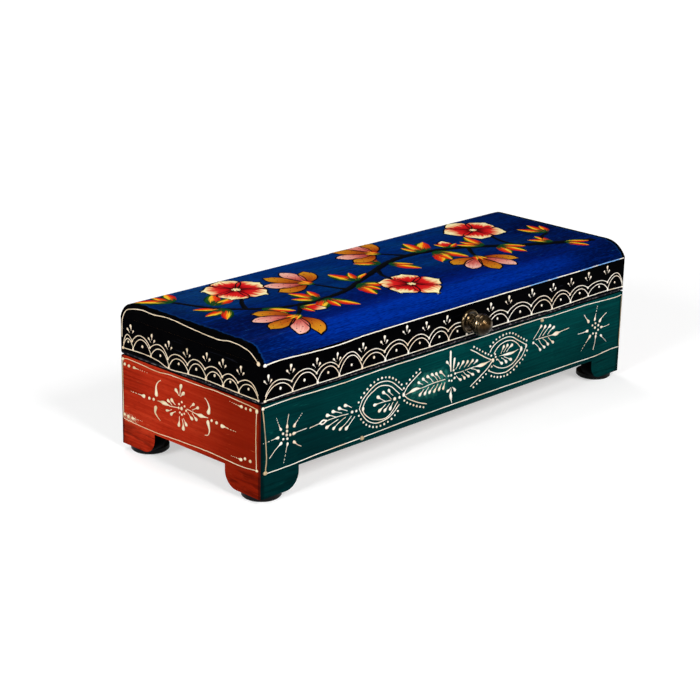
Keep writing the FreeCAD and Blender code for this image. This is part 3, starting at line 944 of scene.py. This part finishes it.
def middle_sprays(work):
    """The flower in the middle and the two sprays that meet in it."""
    work.stroke([(-43.1, 33.9), (-35.9, 35.2), (-29.4, 34.6)], 2.1, spindle)
    work.stroke([(-30, 34.7), (-20, 35.4), (-11.3, 35.3)], THIN)
    drops(
        work, 1.9,
        (-32.9, 38.5, -29.4, 36.5), (-29.4, 39.8, -25.3, 36.7), (-25.8, 40.4, -20.9, 35.9),
        (-22.3, 40.8, -17.5, 36.2), (-18.8, 40.4, -15.3, 36.5), (-15.3, 40.6, -11.3, 37.1),
        (-31.6, 31, -28.4, 33.4), (-27.6, 30.8, -24.4, 34), (-23.8, 30.7, -20, 34),
        (-19.9, 30.4, -16.9, 34), (-16.1, 30.6, -13.8, 33.7), (-12.6, 30.3, -11.2, 33.4),
    )
    flower = (
        (-8.6, 36.7), (-6.3, 36.5), (-2.9, 36.8), (-7.9, 33.7), (-5.6, 33.2), (-3.3, 34.3), (-4.4, 39.1),
    )
    work.dots(flower, 1.5)
    drops(
        work, 1.8,
        (-10.2, 45.1, -6.9, 41.2), (-8.8, 27.8, -5.9, 29.2), (-2.6, 26.9, -4.7, 29),
    )
    work.stroke([(-7.4, 50.4), (-7.2, 45), (-6.6, 39)], 1.5, club)
    work.stroke([(-3.9, 45.6), (-4.2, 43), (-4.5, 40.4)], 1.6, club)
    work.stroke([(-5.6, 28.4), (-6.1, 24.6), (-4.8, 19.9)], 2.2, spindle)
    work.stroke([(-2.5, 36.8), (4.4, 36.6)], THIN)
    work.stroke([(5.6, 36.7), (13, 37)], THIN)
    work.stroke([(12.4, 37), (20.3, 36.6), (27.5, 37.4)], 2.1, spindle)
    drops(
        work, 1.8,
        (-0.3, 42.1, -2.5, 39.2), (3.6, 42.1, 0.6, 38.8), (7.4, 41.5, 4.7, 38.8),
        (11.6, 41.2, 8.1, 38.4), (15.4, 40.3, 12.8, 38.8), (1.9, 32, -1.6, 34.9),
        (5.3, 32.1, 2.8, 34.6), (8.8, 32.4, 4.4, 35.9), (12.5, 32.6, 7.8, 35.6),
        (17.2, 33.4, 10.6, 36.5),
    )


LONG_TOP = (
    (-148.8, 52.2), (-129, 52.9), (-94, 52.3), (-60, 53), (60, 53.2), (80, 52.4),
    (111, 52.6), (141, 51.5), (149, 52),
)
LONG_LOW = (
    (-145.6, 16.5), (-131, 16.7), (-106, 17.5), (-78, 18), (-30, 18.7), (60, 18.5),
    (105, 18), (125, 17.8), (141, 18.7), (149.4, 18.6),
)


def long_frame(work, room):
    """Lines along a long side and a blob at a corner; the top line leaves room for hinges."""
    work.stroke([(x, up - room) for x, up in LONG_TOP], LINE)
    work.stroke(LONG_LOW, LINE)
    work.dot((-148.6, 52.1 - room), 2.2)


def uprights(work, room):
    """Thinned lines down the ends of a long side, and blobs where the cone was set down."""
    work.stroke([(-148.7, 51.6 - room), (-147.2, 40), (-145.9, 26), (-146.5, 18)], 0.7)
    work.stroke([(149.2, 51.4 - room), (149.5, 36), (149.4, 20)], 0.6)
    work.dot((-146.8, 17.0), 3.3, 0.85)
    work.dot((72.3, 51.8 - room), 3.0, 0.85)
    work.dot((-76.6, 17.8), 2.8, 0.85)


def end_flower(work):
    """A flower with two branches, and curled strokes beside them."""
    ring = (
        (-5.4, 39.9), (-7.6, 38.2), (-3.2, 38.1), (-7.9, 36), (-1.8, 36), (-7, 33.7), (-3.4, 34),
        (-5.3, 33),
    )
    work.dots(ring, 1.4)
    work.dot((-5.5, 36.3), 2.2)
    drops(
        work, 2.1,
        (-5.9, 48.6, -7, 42.9), (-10, 45.4, -7.9, 43), (-4, 45.1, -6.3, 42.7),
        (-7.7, 26.4, -7.4, 31.3), (-4.2, 25.4, -5.2, 30.4), (-1.9, 28.2, -4.4, 31),
    )
    work.stroke([(-24.9, 35.3), (-19.5, 35.5), (-14.5, 35)], 2.5, spindle)
    work.stroke([(-15.4, 35), (-8.6, 35.9)], THIN)
    work.stroke([(-1.4, 37.1), (6, 36.3)], THIN)
    work.stroke([(4.6, 36.4), (9.1, 36.3), (15.2, 36.5)], 2.3, spindle)
    drops(
        work, 1.8,
        (-16.4, 37.8, -13.4, 36), (-13.5, 38.9, -10.7, 37), (-17.5, 31.8, -13.7, 33.4),
        (-13.9, 30.8, -10.5, 33.2), (4, 41.1, 1.1, 38.6), (7.3, 40, 2.9, 37.6),
        (2.6, 32.8, -0.7, 35.4), (6.2, 33.3, 2.9, 35.8),
    )
    for path in (
        [(-25.8, 38.6), (-26, 43.3), (-24.6, 45.8), (-22.4, 47.4)],
        [(-26.5, 31), (-27.1, 28.1), (-25.3, 26), (-23.1, 24.6)],
        [(15.8, 39.7), (16.3, 42.6), (14.5, 45.6), (12.8, 46.8)],
        [(15.4, 34.2), (16.3, 30.2), (15.2, 27.3), (12.7, 26.5)],
    ):
        work.stroke(path, 2.4, curl)
    work.dots(((-28.1, 35.2), (-31.7, 35.0), (18.1, 36.0), (21.9, 35.9)), 1.8)
    broken_drops(work, 2.3, (-36.2, 34.9, -47.2, 34.7), (26.1, 35.3, 36.4, 35.1))


TRAIL_HEAD = 0.35
TRAIL_END = (0.48, 0.64, 0.82, 1.0)
CORNER_TRAILS = (
    ((-52.1, 48.9), (-48.6, 48.8), (-44.4, 48.8), (-33.6, 48.7)),
    ((47.6, 50), (44.2, 49.8), (40.9, 49.9), (32, 50.4)),
    ((47.5, 22.1), (43.6, 22.3), (40.6, 21), (33, 21)),
    ((-53, 20.2), (-49.7, 19.7), (-46.3, 19.6), (-38.4, 20)),
)
END_TOP = (
    (-53.8, 51.6), (-47.8, 52.4), (-24.6, 51.6), (-15.2, 52.4), (10.2, 52.5), (23.2, 53), (44.9, 52.1),
    (52.6, 51.3),
)
END_LOW = (
    (-53.6, 17.6), (-40.5, 16.9), (-26, 16.7), (-7.9, 17.4), (14.5, 18.1), (39.1, 17.3), (52.7, 18.4),
)


def end_frame(work):
    """Thin lines round an end, and trails of dots in from its corners."""
    work.stroke(END_TOP, THIN)
    work.stroke(END_LOW, THIN)
    work.stroke([(-54, 51.6), (-54.1, 36), (-53.9, 18)], THIN)
    work.stroke([(52, 50), (51.5, 36), (51.9, 18.4)], THIN)
    work.dot((52.3, 50.4), 2.2, 1.3)
    work.dot((52.4, 18.3), 1.8, 0.8)
    work.dot((-53.6, 51.6), 1.8)
    for first, second, head, tail in CORNER_TRAILS:
        work.dot(first, 1.9)
        work.dot(second, 1.8)
        head, tail = Vector(head), Vector(tail)
        drops(work, 1.8, (*head, *head.lerp(tail, TRAIL_HEAD)))
        for share in TRAIL_END:
            work.dot(head.lerp(tail, share), 0.7 - 0.25 * share)


# The band of arches on the lid

ARCH_STEPS = 10
ARCH_ROUND = 0.9
ARCH_POINTED = 1.0
ARCH_SHOULDER = 2.2
ARCH_GAPS = (1.9, 2.5)
JOINT_DRIFT = (-0.6, 0.5)
FOOT_RISE = Vector((0.0, 1.2))
JOINT_RISE = Vector((-0.7, 5.6))
END_RISE = Vector((0.0, 2.6))
# heads and tails of a fleuron's two side drops, from the head of its middle one
FLEURON_SIDES = (((-2.7, -2.3), (-1.0, -4.2)), ((2.1, -2.6), (1.2, -4.0)))

LONG_BASE = (
    (-147.2, 55.9), (-128, 56.4), (-94, 56.7), (-60, 57.1), (62, 57.2), (81, 56.7),
    (126, 57.6), (149.2, 57),
)
LONG_FEET = (
    -146.8, -128.1, -110.5, -94.7, -77.7, -60.1, -42.1, -25.1, -9.5, 5.6, 23.5, 41.2, 62.2, 81, 98.2,
    115.2, 134.4, 149,
)
LONG_TOPS = (
    63.1, 64.6, 64.1, 66.3, 63.8, 64.8, 64, 64.4, 64, 64, 63.9, 64.8, 64.3, 64.4, 63.9, 63.3, 65.2,
)
END_BASE = (
    (-53.2, 58.1), (-35.4, 58.6), (-24.6, 57.8), (-15.9, 55.7), (-4.3, 56.2), (10, 57.2), (28, 56.8),
    (53.4, 56.3),
)
END_FEET = (-53.0, -44.9, -30.0, -15.5, 0.0, 13.8, 27.0, 38.9, 53.0)
END_TOPS = (64.1, 66.1, 64.5, 62.8, 63.9, 63.0, 62.5, 63.0)
LONG_HEADS = (
    (-145, 68.8), (-129.4, 70.8), (-111, 69.8), (-96.2, 69.5), (-77.3, 70.6), (-61, 71),
    (-43.8, 72.8), (-28.3, 71.6), (-11.2, 71.7), (25.4, 71.3), (41.2, 72.2), (61.8, 72.3), (81.3, 71.8),
    (98, 71.8), (114.6, 72), (132.7, 72.5),
)
END_HEADS = (
    (-46.6, 71.8), (-29.2, 70.8), (-15.3, 70.4), (-0.9, 69.8), (14.5, 71.4), (26.8, 71.1), (40.4, 70.8),
)
LONG_ARRIS = (
    (-147.4, 74.7), (-134, 75.2), (-110, 74.2), (-92, 74.2), (-68, 75.1), (0, 75.2),
    (148.6, 75.2),
)
END_CROWN = (
    (-54.2, 64), (-53.9, 71), (-53.2, 75), (-50.4, 79.3), (-45.6, 81.3), (-37, 82.8),
    (-27.5, 82.5), (-15, 83.3), (5, 81.9), (23, 81.2), (31, 82.3), (39, 82.1), (46.4, 80.6),
    (50.2, 78.3), (53.2, 75.8),
)


def level(line, x):
    """The height of a hand-drawn line at a place along it."""
    for start, end in zip(line, line[1:]):
        if x <= end.x:
            return start.lerp(end, (x - start.x) / (end.x - start.x)).y
    return line[-1].y


def arch(start, end, top, bulge):
    """A path from foot to foot over a top, rounder for a smaller bulge."""
    path = []
    for i in range(ARCH_STEPS + 1):
        across = -math.cos(math.pi * i / ARCH_STEPS)
        foot = start.lerp(end, (across + 1) / 2)
        rise = max(0.0, 1 - abs(across) ** ARCH_SHOULDER) ** bulge
        path.append(Vector((foot.x, foot.y + (top - foot.y) * rise)))
    return path


def fleuron(work, head):
    """Three short drops that point down at one place."""
    lean = work.hand.uniform(-0.3, 0.3)
    drops(work, 1.6, (*head, *(head + Vector((lean, -2.6)))))
    for start, end in FLEURON_SIDES:
        drops(work, 1.2, (*(head + Vector(start)), *(head + Vector(end))))


def scallops(work, base, feet, tops, heads, room):
    """A band on a base line: double arches on their feet, a dot in each and fleurons over the joints."""
    line = [Vector((x, up + room)) for x, up in base]
    work.stroke(line, LINE)
    work.dot(line[0], 2.0, 0.8)
    work.dot(line[-1], 1.4)
    ground = [Vector((x, level(line, x))) for x in feet]
    joints = [foot + JOINT_RISE + Vector((0.0, work.hand.uniform(*JOINT_DRIFT))) for foot in ground]
    joints[0] = ground[0] + END_RISE
    joints[-1] = ground[-1] + END_RISE
    for i, top in enumerate(tops):
        start, end = ground[i], ground[i + 1]
        work.stroke(arch(start + FOOT_RISE, end + FOOT_RISE, top + room, ARCH_ROUND), LINE)
        gap = work.hand.uniform(*ARCH_GAPS)
        work.stroke(arch(joints[i], joints[i + 1], top + room + gap, ARCH_POINTED), LINE)
        work.dot((start + end) / 2 + Vector((work.hand.uniform(-0.8, 0.8), 4.2)), 1.4, 1.2)
    for foot, joint in zip(ground[1:-1], joints[1:-1]):
        work.dot(foot + FOOT_RISE * 0.6, 1.5, 1.5)
        work.dot(joint, 1.3, 1.2)
    for x, up in heads:
        fleuron(work, Vector((x, up + room)))


# fresh, dull and base colours of each kind of paste, and its stain; the base colour at the paste's foot is
# partly painted shade
PASTES = {
    "cream": (srgb(255, 247, 234), srgb(244, 222, 194), srgb(184, 154, 122)),
    "worn": (srgb(236, 226, 190), srgb(212, 196, 150), srgb(160, 108, 74)),
    "beige": (srgb(242, 224, 196), srgb(224, 202, 168), srgb(150, 122, 94)),
    "dull": (srgb(188, 164, 126), srgb(134, 126, 106), srgb(84, 90, 80)),
    "edge": (srgb(255, 247, 234), srgb(236, 222, 204), srgb(150, 140, 140), srgb(96, 168, 236)),
}
HINGE_ROOM = 1.3


def dress_long_side(side, seed, paste):
    room = HINGE_ROOM if side == "back" else 0.0
    work = Brushwork(flat_face(side, seed), seed)
    for motif in (stars, outer_sprays, ovals, middle_sprays):
        motif(work)
    long_frame(work, room)
    work.finish(f"{side}_cone_work", "base", paste["cream"])

    work = Brushwork(flat_face(side, seed), seed + 40)
    uprights(work, room)
    work.finish(f"{side}_uprights", "base", paste["dull"])

    work = Brushwork(flat_face(side, seed + 10), seed + 10)
    scallops(work, LONG_BASE, LONG_FEET, LONG_TOPS, LONG_HEADS, room)
    work.finish(f"lid_{side}_cone_work", "lid", paste["cream"])

    work = Brushwork(flat_face(side, seed + 10), seed + 20)
    work.stroke(LONG_ARRIS, LINE * 1.25)
    work.dot(LONG_ARRIS[0], 2.4, 0.8)
    work.finish(f"lid_{side}_edge_line", "lid", paste["edge"])


def dress_end(side, seed, paste):
    work = Brushwork(flat_face(side, seed), seed)
    end_flower(work)
    end_frame(work)
    work.finish(f"{side}_cone_work", "base", paste["worn"])

    work = Brushwork(flat_face(side, seed + 10), seed + 10)
    scallops(work, END_BASE, END_FEET, END_TOPS, END_HEADS, 0.0)
    work.stroke(END_CROWN, BOLD)
    work.dot(END_CROWN[-1], 2.2, 1.1)
    work.finish(f"lid_{side}_cone_work", "lid", paste["beige"])


def dress_sides():
    paste = {kind: cone_paint(f"cone_{kind}", *colours) for kind, colours in PASTES.items()}
    for seed, side in enumerate(SIDES):
        dress = dress_long_side if side in LONG_SIDES else dress_end
        dress(side, seed, paste)


# The floral scroll on the lid

FILM = 0.07
LAYER = 0.018
OUTLINE = 0.95


class LidPainting:
    """Brush marks on the lid, kept in one mesh for each kind of paint."""

    def __init__(self):
        self.marks = {}

    def paint(self, kind):
        if kind not in self.marks:
            self.marks[kind] = Brushwork(lid_face, len(self.marks) + 30, sides=10, round_top=0.3)
        return self.marks[kind]

    def mark(self, kind, points, width, taper, layer):
        self.paint(kind).stroke(points, width, taper, height=FILM + LAYER * layer)

    def outlined(self, kind, points, width, taper, layer):
        """A mark with a thin dark line round it."""
        self.mark(kind, points, width, taper, layer)
        path = smooth_path(points)
        last = len(path) - 1
        edges = ([], [])
        for i, (point, run) in enumerate(zip(path, runs(path))):
            reach = run.orthogonal() * (width * taper(i / last) / 2)
            edges[0].append(point + reach)
            edges[1].append(point - reach)
        tip = path[-1] + (path[-1] - path[-2]).normalized() * (width * taper(1) / 2)
        self.mark("ink", [*edges[0][::3], tip, *reversed(edges[1][::3])], OUTLINE, even, layer + 2)

    def spots(self, kind, points, width, layer):
        for point in points:
            self.paint(kind).dot(point, width, height=FILM + LAYER * layer)


def heading(point, degrees, reach):
    angle = math.radians(degrees)
    return Vector(point) + Vector((math.cos(angle), math.sin(angle))) * reach


PETALS = 5
STAMENS = 6


def rosette(art, centre, radius, start):
    """An open flower of broad petals, red in the middle and cream at the rim."""
    for i in range(PETALS):
        way = start + 360 / PETALS * i
        base, tip = heading(centre, way, 1.5), heading(centre, way, radius * 0.86)
        art.outlined("rose", [base, tip], radius * 0.84, petal, 1 + i % 3)
    art.spots("cream", [centre], 6.0, 8)
    art.spots("ink", [heading(centre, 360 / STAMENS * i, 1.9) for i in range(STAMENS)], 0.9, 12)


# lean, paint and share of the length of each lobe, and the side and share of each dot on it
LILY_LOBES = (
    (-64, "ochre", 0.92), (64, "ochre", 0.92), (-33, "pink", 1.0), (33, "pink", 1.0), (0, "ochre", 1.05),
)
LOBE_DOTS = ((1, 0.45), (-1, 0.58), (1, 0.72), (-1, 0.84), (0, 0.94))


def lily(art, base, way, length):
    """A flower seen from the side: ochre and pink lobes in a fan, with dark dots."""
    for layer, (lean, kind, share) in enumerate(LILY_LOBES):
        root, tip = heading(base, way + lean, 2.0), heading(base, way + lean, length * share)
        middle = heading(base, way + lean * 1.12, length * share * 0.55)
        art.outlined(kind, [root, middle, tip], length * 0.42, petal, 1 + layer)
        dots = [heading(base, way + lean * 1.06 + side * 5, length * reach) for side, reach in LOBE_DOTS]
        art.spots("ink", dots, 0.9, layer + 8)
    for lean in (-30, 0, 30):
        art.mark("leaf", [heading(base, way + 180, 3.0), heading(base, way + lean, 6.5)], 4.6, leaf, 9)


LEAF_SPREAD = 32


def leaves(art, base, way, length, count):
    """A tuft of loaded brush strokes, red on one edge and green on the other."""
    hand = art.paint("leaf").hand
    for i in range(count):
        lean = way + LEAF_SPREAD * (i - (count - 1) / 2) + hand.uniform(-8, 8)
        reach = length * hand.uniform(0.75, 1.15)
        root, tip = heading(base, lean, 1.5), heading(base, lean, reach)
        middle = heading(base, lean + hand.uniform(-4, 12), reach * 0.5)
        art.mark("leaf", [root, middle, tip], reach * hand.uniform(0.38, 0.50), leaf, i)


def bud(art, base, way, length):
    art.outlined("rose", [heading(base, way, 1.0), heading(base, way, length)], length * 0.62, leaf, 2)
    for lean in (-38, 38):
        art.mark("leaf", [base, heading(base, way + lean, length * 0.75)], length * 0.30, leaf, 5)


BRANCH = [(139, 22), (102, 40), (62, 64), (22, 71), (-18, 58), (-54, 44), (-92, 45), (-120, 64), (-133, 90)]
TWIGS = (
    [(96, 44), (96, 56), (100, 68)],
    [(70, 60), (62, 50), (58, 42)],
    [(30, 71), (24, 78), (18, 86)],
    [(-6, 62), (-12, 52), (-12, 44)],
    [(-46, 46), (-50, 56), (-54, 68)],
    [(-84, 44), (-92, 36), (-100, 30)],
    [(-112, 56), (-106, 66), (-98, 74)],
    [(112, 36), (122, 46), (132, 50)],
)
# place on the lid, heading and number of leaves
TUFTS = (
    (122, 30, -40, 2), (118, 33, 100, 2), (86, 51, -75, 3), (80, 55, 105, 3), (48, 68, -100, 3),
    (42, 69, 80, 3), (4, 68, 110, 3), (8, 68, -60, 2), (-30, 53, 70, 3), (-36, 50, -70, 3),
    (-70, 43, 105, 3), (-66, 43, -105, 3), (-106, 52, -60, 2), (-118, 64, 190, 3), (-122, 72, 30, 2),
    (-132, 90, 100, 3), (132, 50, 80, 3),
)
LEAF_LENGTH = 20
LILY_LENGTH = 25


def floral_scroll():
    art = LidPainting()
    art.mark("ink", BRANCH, 6.4, lambda t: 1 - 0.55 * t, 0)
    for twig in TWIGS:
        art.mark("ink", twig, 3.4, lambda t: 1 - 0.4 * t, 0)
    for x, s, way, count in TUFTS:
        leaves(art, (x, s), way, LEAF_LENGTH, count)
    rosette(art, (102, 84), 22, 20)
    lily(art, (58, 42), -112, LILY_LENGTH)
    lily(art, (18, 86), 128, LILY_LENGTH)
    rosette(art, (-12, 30), 21, 60)
    bud(art, (-88, 40), -50, 14)
    lily(art, (-54, 68), 118, LILY_LENGTH)
    lily(art, (-100, 30), 196, LILY_LENGTH)
    rosette(art, (-92, 86), 21, 5)
    bud(art, (60, 66), 60, 15)
    return art


LEAF_TONES = [
    (0.04, srgb(6, 34, 18)), (0.24, srgb(28, 84, 30)), (0.36, srgb(236, 190, 48)),
    (0.50, srgb(240, 164, 38)), (0.62, srgb(226, 64, 22)), (0.95, srgb(172, 14, 12)),
]
ROSE_TONES = [
    (0.05, srgb(84, 4, 10)), (0.30, srgb(190, 16, 22)), (0.60, srgb(212, 36, 34)),
    (0.74, srgb(232, 178, 124)), (0.90, srgb(240, 226, 172)),
]
OCHRE_TONES = [(0.10, srgb(130, 38, 12)), (0.50, srgb(176, 88, 20)), (0.90, srgb(194, 128, 28))]
PINK_TONES = [(0.10, srgb(156, 40, 36)), (0.45, srgb(200, 98, 88)), (0.90, srgb(228, 170, 154))]
CREAM_TONES = [(0.2, srgb(230, 200, 120)), (0.8, srgb(244, 230, 190))]
INK_TONES = [(0.2, srgb(4, 5, 8)), (0.8, srgb(12, 13, 18))]


def paint_lid():
    paints = {
        "ink": stroke_paint("stem_ink", INK_TONES, True, 0.8),
        "leaf": stroke_paint("leaf_strokes", LEAF_TONES, True, 0.5, srgb(14, 62, 28)),
        "rose": stroke_paint("rose_petals", ROSE_TONES, False, 0.85),
        "ochre": stroke_paint("ochre_lobes", OCHRE_TONES, False, 0.8),
        "pink": stroke_paint("pink_lobes", PINK_TONES, False, 0.8),
        "cream": stroke_paint("cream_centres", CREAM_TONES, True, 0.6),
    }
    for kind, work in floral_scroll().marks.items():
        work.finish(f"lid_scroll_{kind}", "lid", paints[kind])


# Knob, lining and the finishes of the frame's own pieces

KNOB_PLACE = Vector((6.8, FRONT, LID + 10.6))
LATHE_STEPS = 56
BALL_RADIUS = 6.2
BALL_CENTRE = 9.4
BALL_RINGS = 5
RING_DEPTH = 0.13


def lathe(name, profile, material, node):
    """A piece turned about the knob's axis; the profile is (radius, distance out from the lid)."""
    mesh = bmesh.new()
    rings = []
    for radius, out in profile:
        ring = []
        for i in range(LATHE_STEPS):
            angle = 2 * math.pi * i / LATHE_STEPS
            spoke = Vector((math.cos(angle) * radius, -out, math.sin(angle) * radius))
            ring.append(mesh.verts.new((KNOB_PLACE + spoke) * MM))
        rings.append(ring)
    for a, b in zip(rings, rings[1:]):
        for i in range(LATHE_STEPS):
            after = (i + 1) % LATHE_STEPS
            mesh.faces.new((a[i], a[after], b[after], b[i])).smooth = True
    mesh.faces.new(rings[0])
    mesh.faces.new(reversed(rings[-1])).smooth = True
    bmesh.ops.recalc_face_normals(mesh, faces=mesh.faces)
    piece = add_mesh(name, mesh, material)
    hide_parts(node)
    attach(piece, "lid")


def round_profile(centre, out, radius, start, end, count, ripple=0.0, rings=0):
    """Points round a circle of the profile, by angle from the outward axis, with rings cut in it."""
    points = []
    for i in range(count):
        share = i / (count - 1)
        angle = math.radians(start + (end - start) * share)
        reach = radius - ripple * (0.5 - 0.5 * math.cos(2 * math.pi * rings * share))
        points.append((centre + reach * math.sin(angle), out + reach * math.cos(angle)))
    return points


def ball(*arc):
    return round_profile(0.0, BALL_CENTRE, BALL_RADIUS, *arc)


def make_knob(material):
    lathe("turned_rose", [
        (6.6, 0.0),
        *round_profile(5.9, 1.0, 1.0, 125, -55, 13),
        (4.5, 1.35), (4.0, 1.35), (3.6, 1.6), (3.3, 2.2),
    ], material, "knob_rose")
    lathe("turned_knob", [
        (2.9, 2.2), (2.7, 2.6), (2.7, 3.1), (3.0, 3.4),
        *round_profile(3.2, 4.0, 0.65, 155, 25, 7),
        (3.0, 4.7),
        *ball(150, 106, 12),
        *ball(104, 16, 70, RING_DEPTH, BALL_RINGS),
        *ball(13, 1, 5),
    ], material, "knob")


LINING_CELL = 3.0
LINING_EDGE = 0.45
LINING_LOW = 0.72
LINING_WAVE = 0.25
WAVES_PER_METRE = 22


def make_lining(material):
    """Felt laid on the bottom board: a thin sheet with soft edges and a few slow waves."""
    low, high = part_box("floor_lining")
    size = high - low
    mesh = bmesh.new()
    columns, rows = (round(side / MM / LINING_CELL) for side in (size.x, size.y))
    bmesh.ops.create_grid(mesh, x_segments=columns, y_segments=rows, size=0.5)
    for vert in mesh.verts:
        at_edge = max(abs(vert.co.x), abs(vert.co.y)) > 0.499
        x, y = low.x + (vert.co.x + 0.5) * size.x, low.y + (vert.co.y + 0.5) * size.y
        wave = 0.5 + 0.5 * noise.noise(Vector((x, y, 0)) * WAVES_PER_METRE)
        thickness = LINING_EDGE if at_edge else LINING_LOW + LINING_WAVE * wave
        vert.co = Vector((x, y, low.z + size.z * thickness))
    edges = bmesh.ops.extrude_face_region(mesh, geom=mesh.faces[:])["geom"]
    for vert in (item for item in edges if isinstance(item, bmesh.types.BMVert)):
        vert.co.z = low.z
    for face in mesh.faces:
        face.smooth = True
    bmesh.ops.recalc_face_normals(mesh, faces=mesh.faces)
    piece = add_mesh("felt_lining", mesh, material)
    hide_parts("floor_lining")
    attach(piece, "base")


EDGE_ROUND = 0.00028
WELD_REACH = 0.00001
SHARP_ANGLE = 40


def soften(name):
    """Rub down the sharp edges of a board."""
    weld = nodes[name].modifiers.new("weld", "WELD")
    weld.merge_threshold = WELD_REACH
    bevel = nodes[name].modifiers.new("edges", "BEVEL")
    bevel.width = EDGE_ROUND
    bevel.segments = 2
    bevel.limit_method = "ANGLE"
    bevel.angle_limit = math.radians(SHARP_ANGLE)
    bevel.harden_normals = True


def coat(material, *names):
    for name in names:
        mesh = nodes[name].data
        mesh.materials.clear()
        mesh.materials.append(material)


def dress_nodes(antique):
    for name, side, *look in BOARDS:
        coat(board_paint(name, side, *look), f"{side}_panel")
        soften(f"{side}_panel")
    rails = [f"lid_{side}_rail" for side in SIDES]
    coat(black_paint("black_band", "X", worn_band), *rails)
    coat(lid_paint(), "lid_top")
    for name in ("lid_top", *rails):
        soften(name)
    corners = [f"{face}_{side}" for face in LONG_SIDES for side in ("left", "right")]
    coat(black_paint("black_blocks", "Z"), *(f"foot_block_{corner}" for corner in corners))
    coat(rubber(), *(f"foot_pad_{corner}" for corner in corners))
    coat(plain_wood(), "bottom_board")
    parts = ("base_leaf", "lid_leaf", "pin")
    hinges = [f"{side}_hinge_{part}" for side in ("left", "right") for part in parts]
    brass = metal("hinge_brass", srgb(186, 150, 84), srgb(120, 90, 48), 0.30)
    coat(brass, "hinge_base_screws", "hinge_lid_screws", *hinges)
    coat(antique, "knob_washer")
    coat(metal("steel", srgb(150, 150, 150), srgb(96, 94, 92), 0.30), "knob_screw")


make_camera()
make_world()
make_floor()
for lamp in LAMPS:
    make_lamp(*lamp)

antique_brass = metal("knob_brass", srgb(150, 132, 102), srgb(66, 47, 24), 0.18, 0.04, 0.94)
dress_nodes(antique_brass)
make_knob(antique_brass)
make_lining(felt())
dress_sides()
paint_lid()

bpy.context.scene.view_settings.view_transform = "Standard"
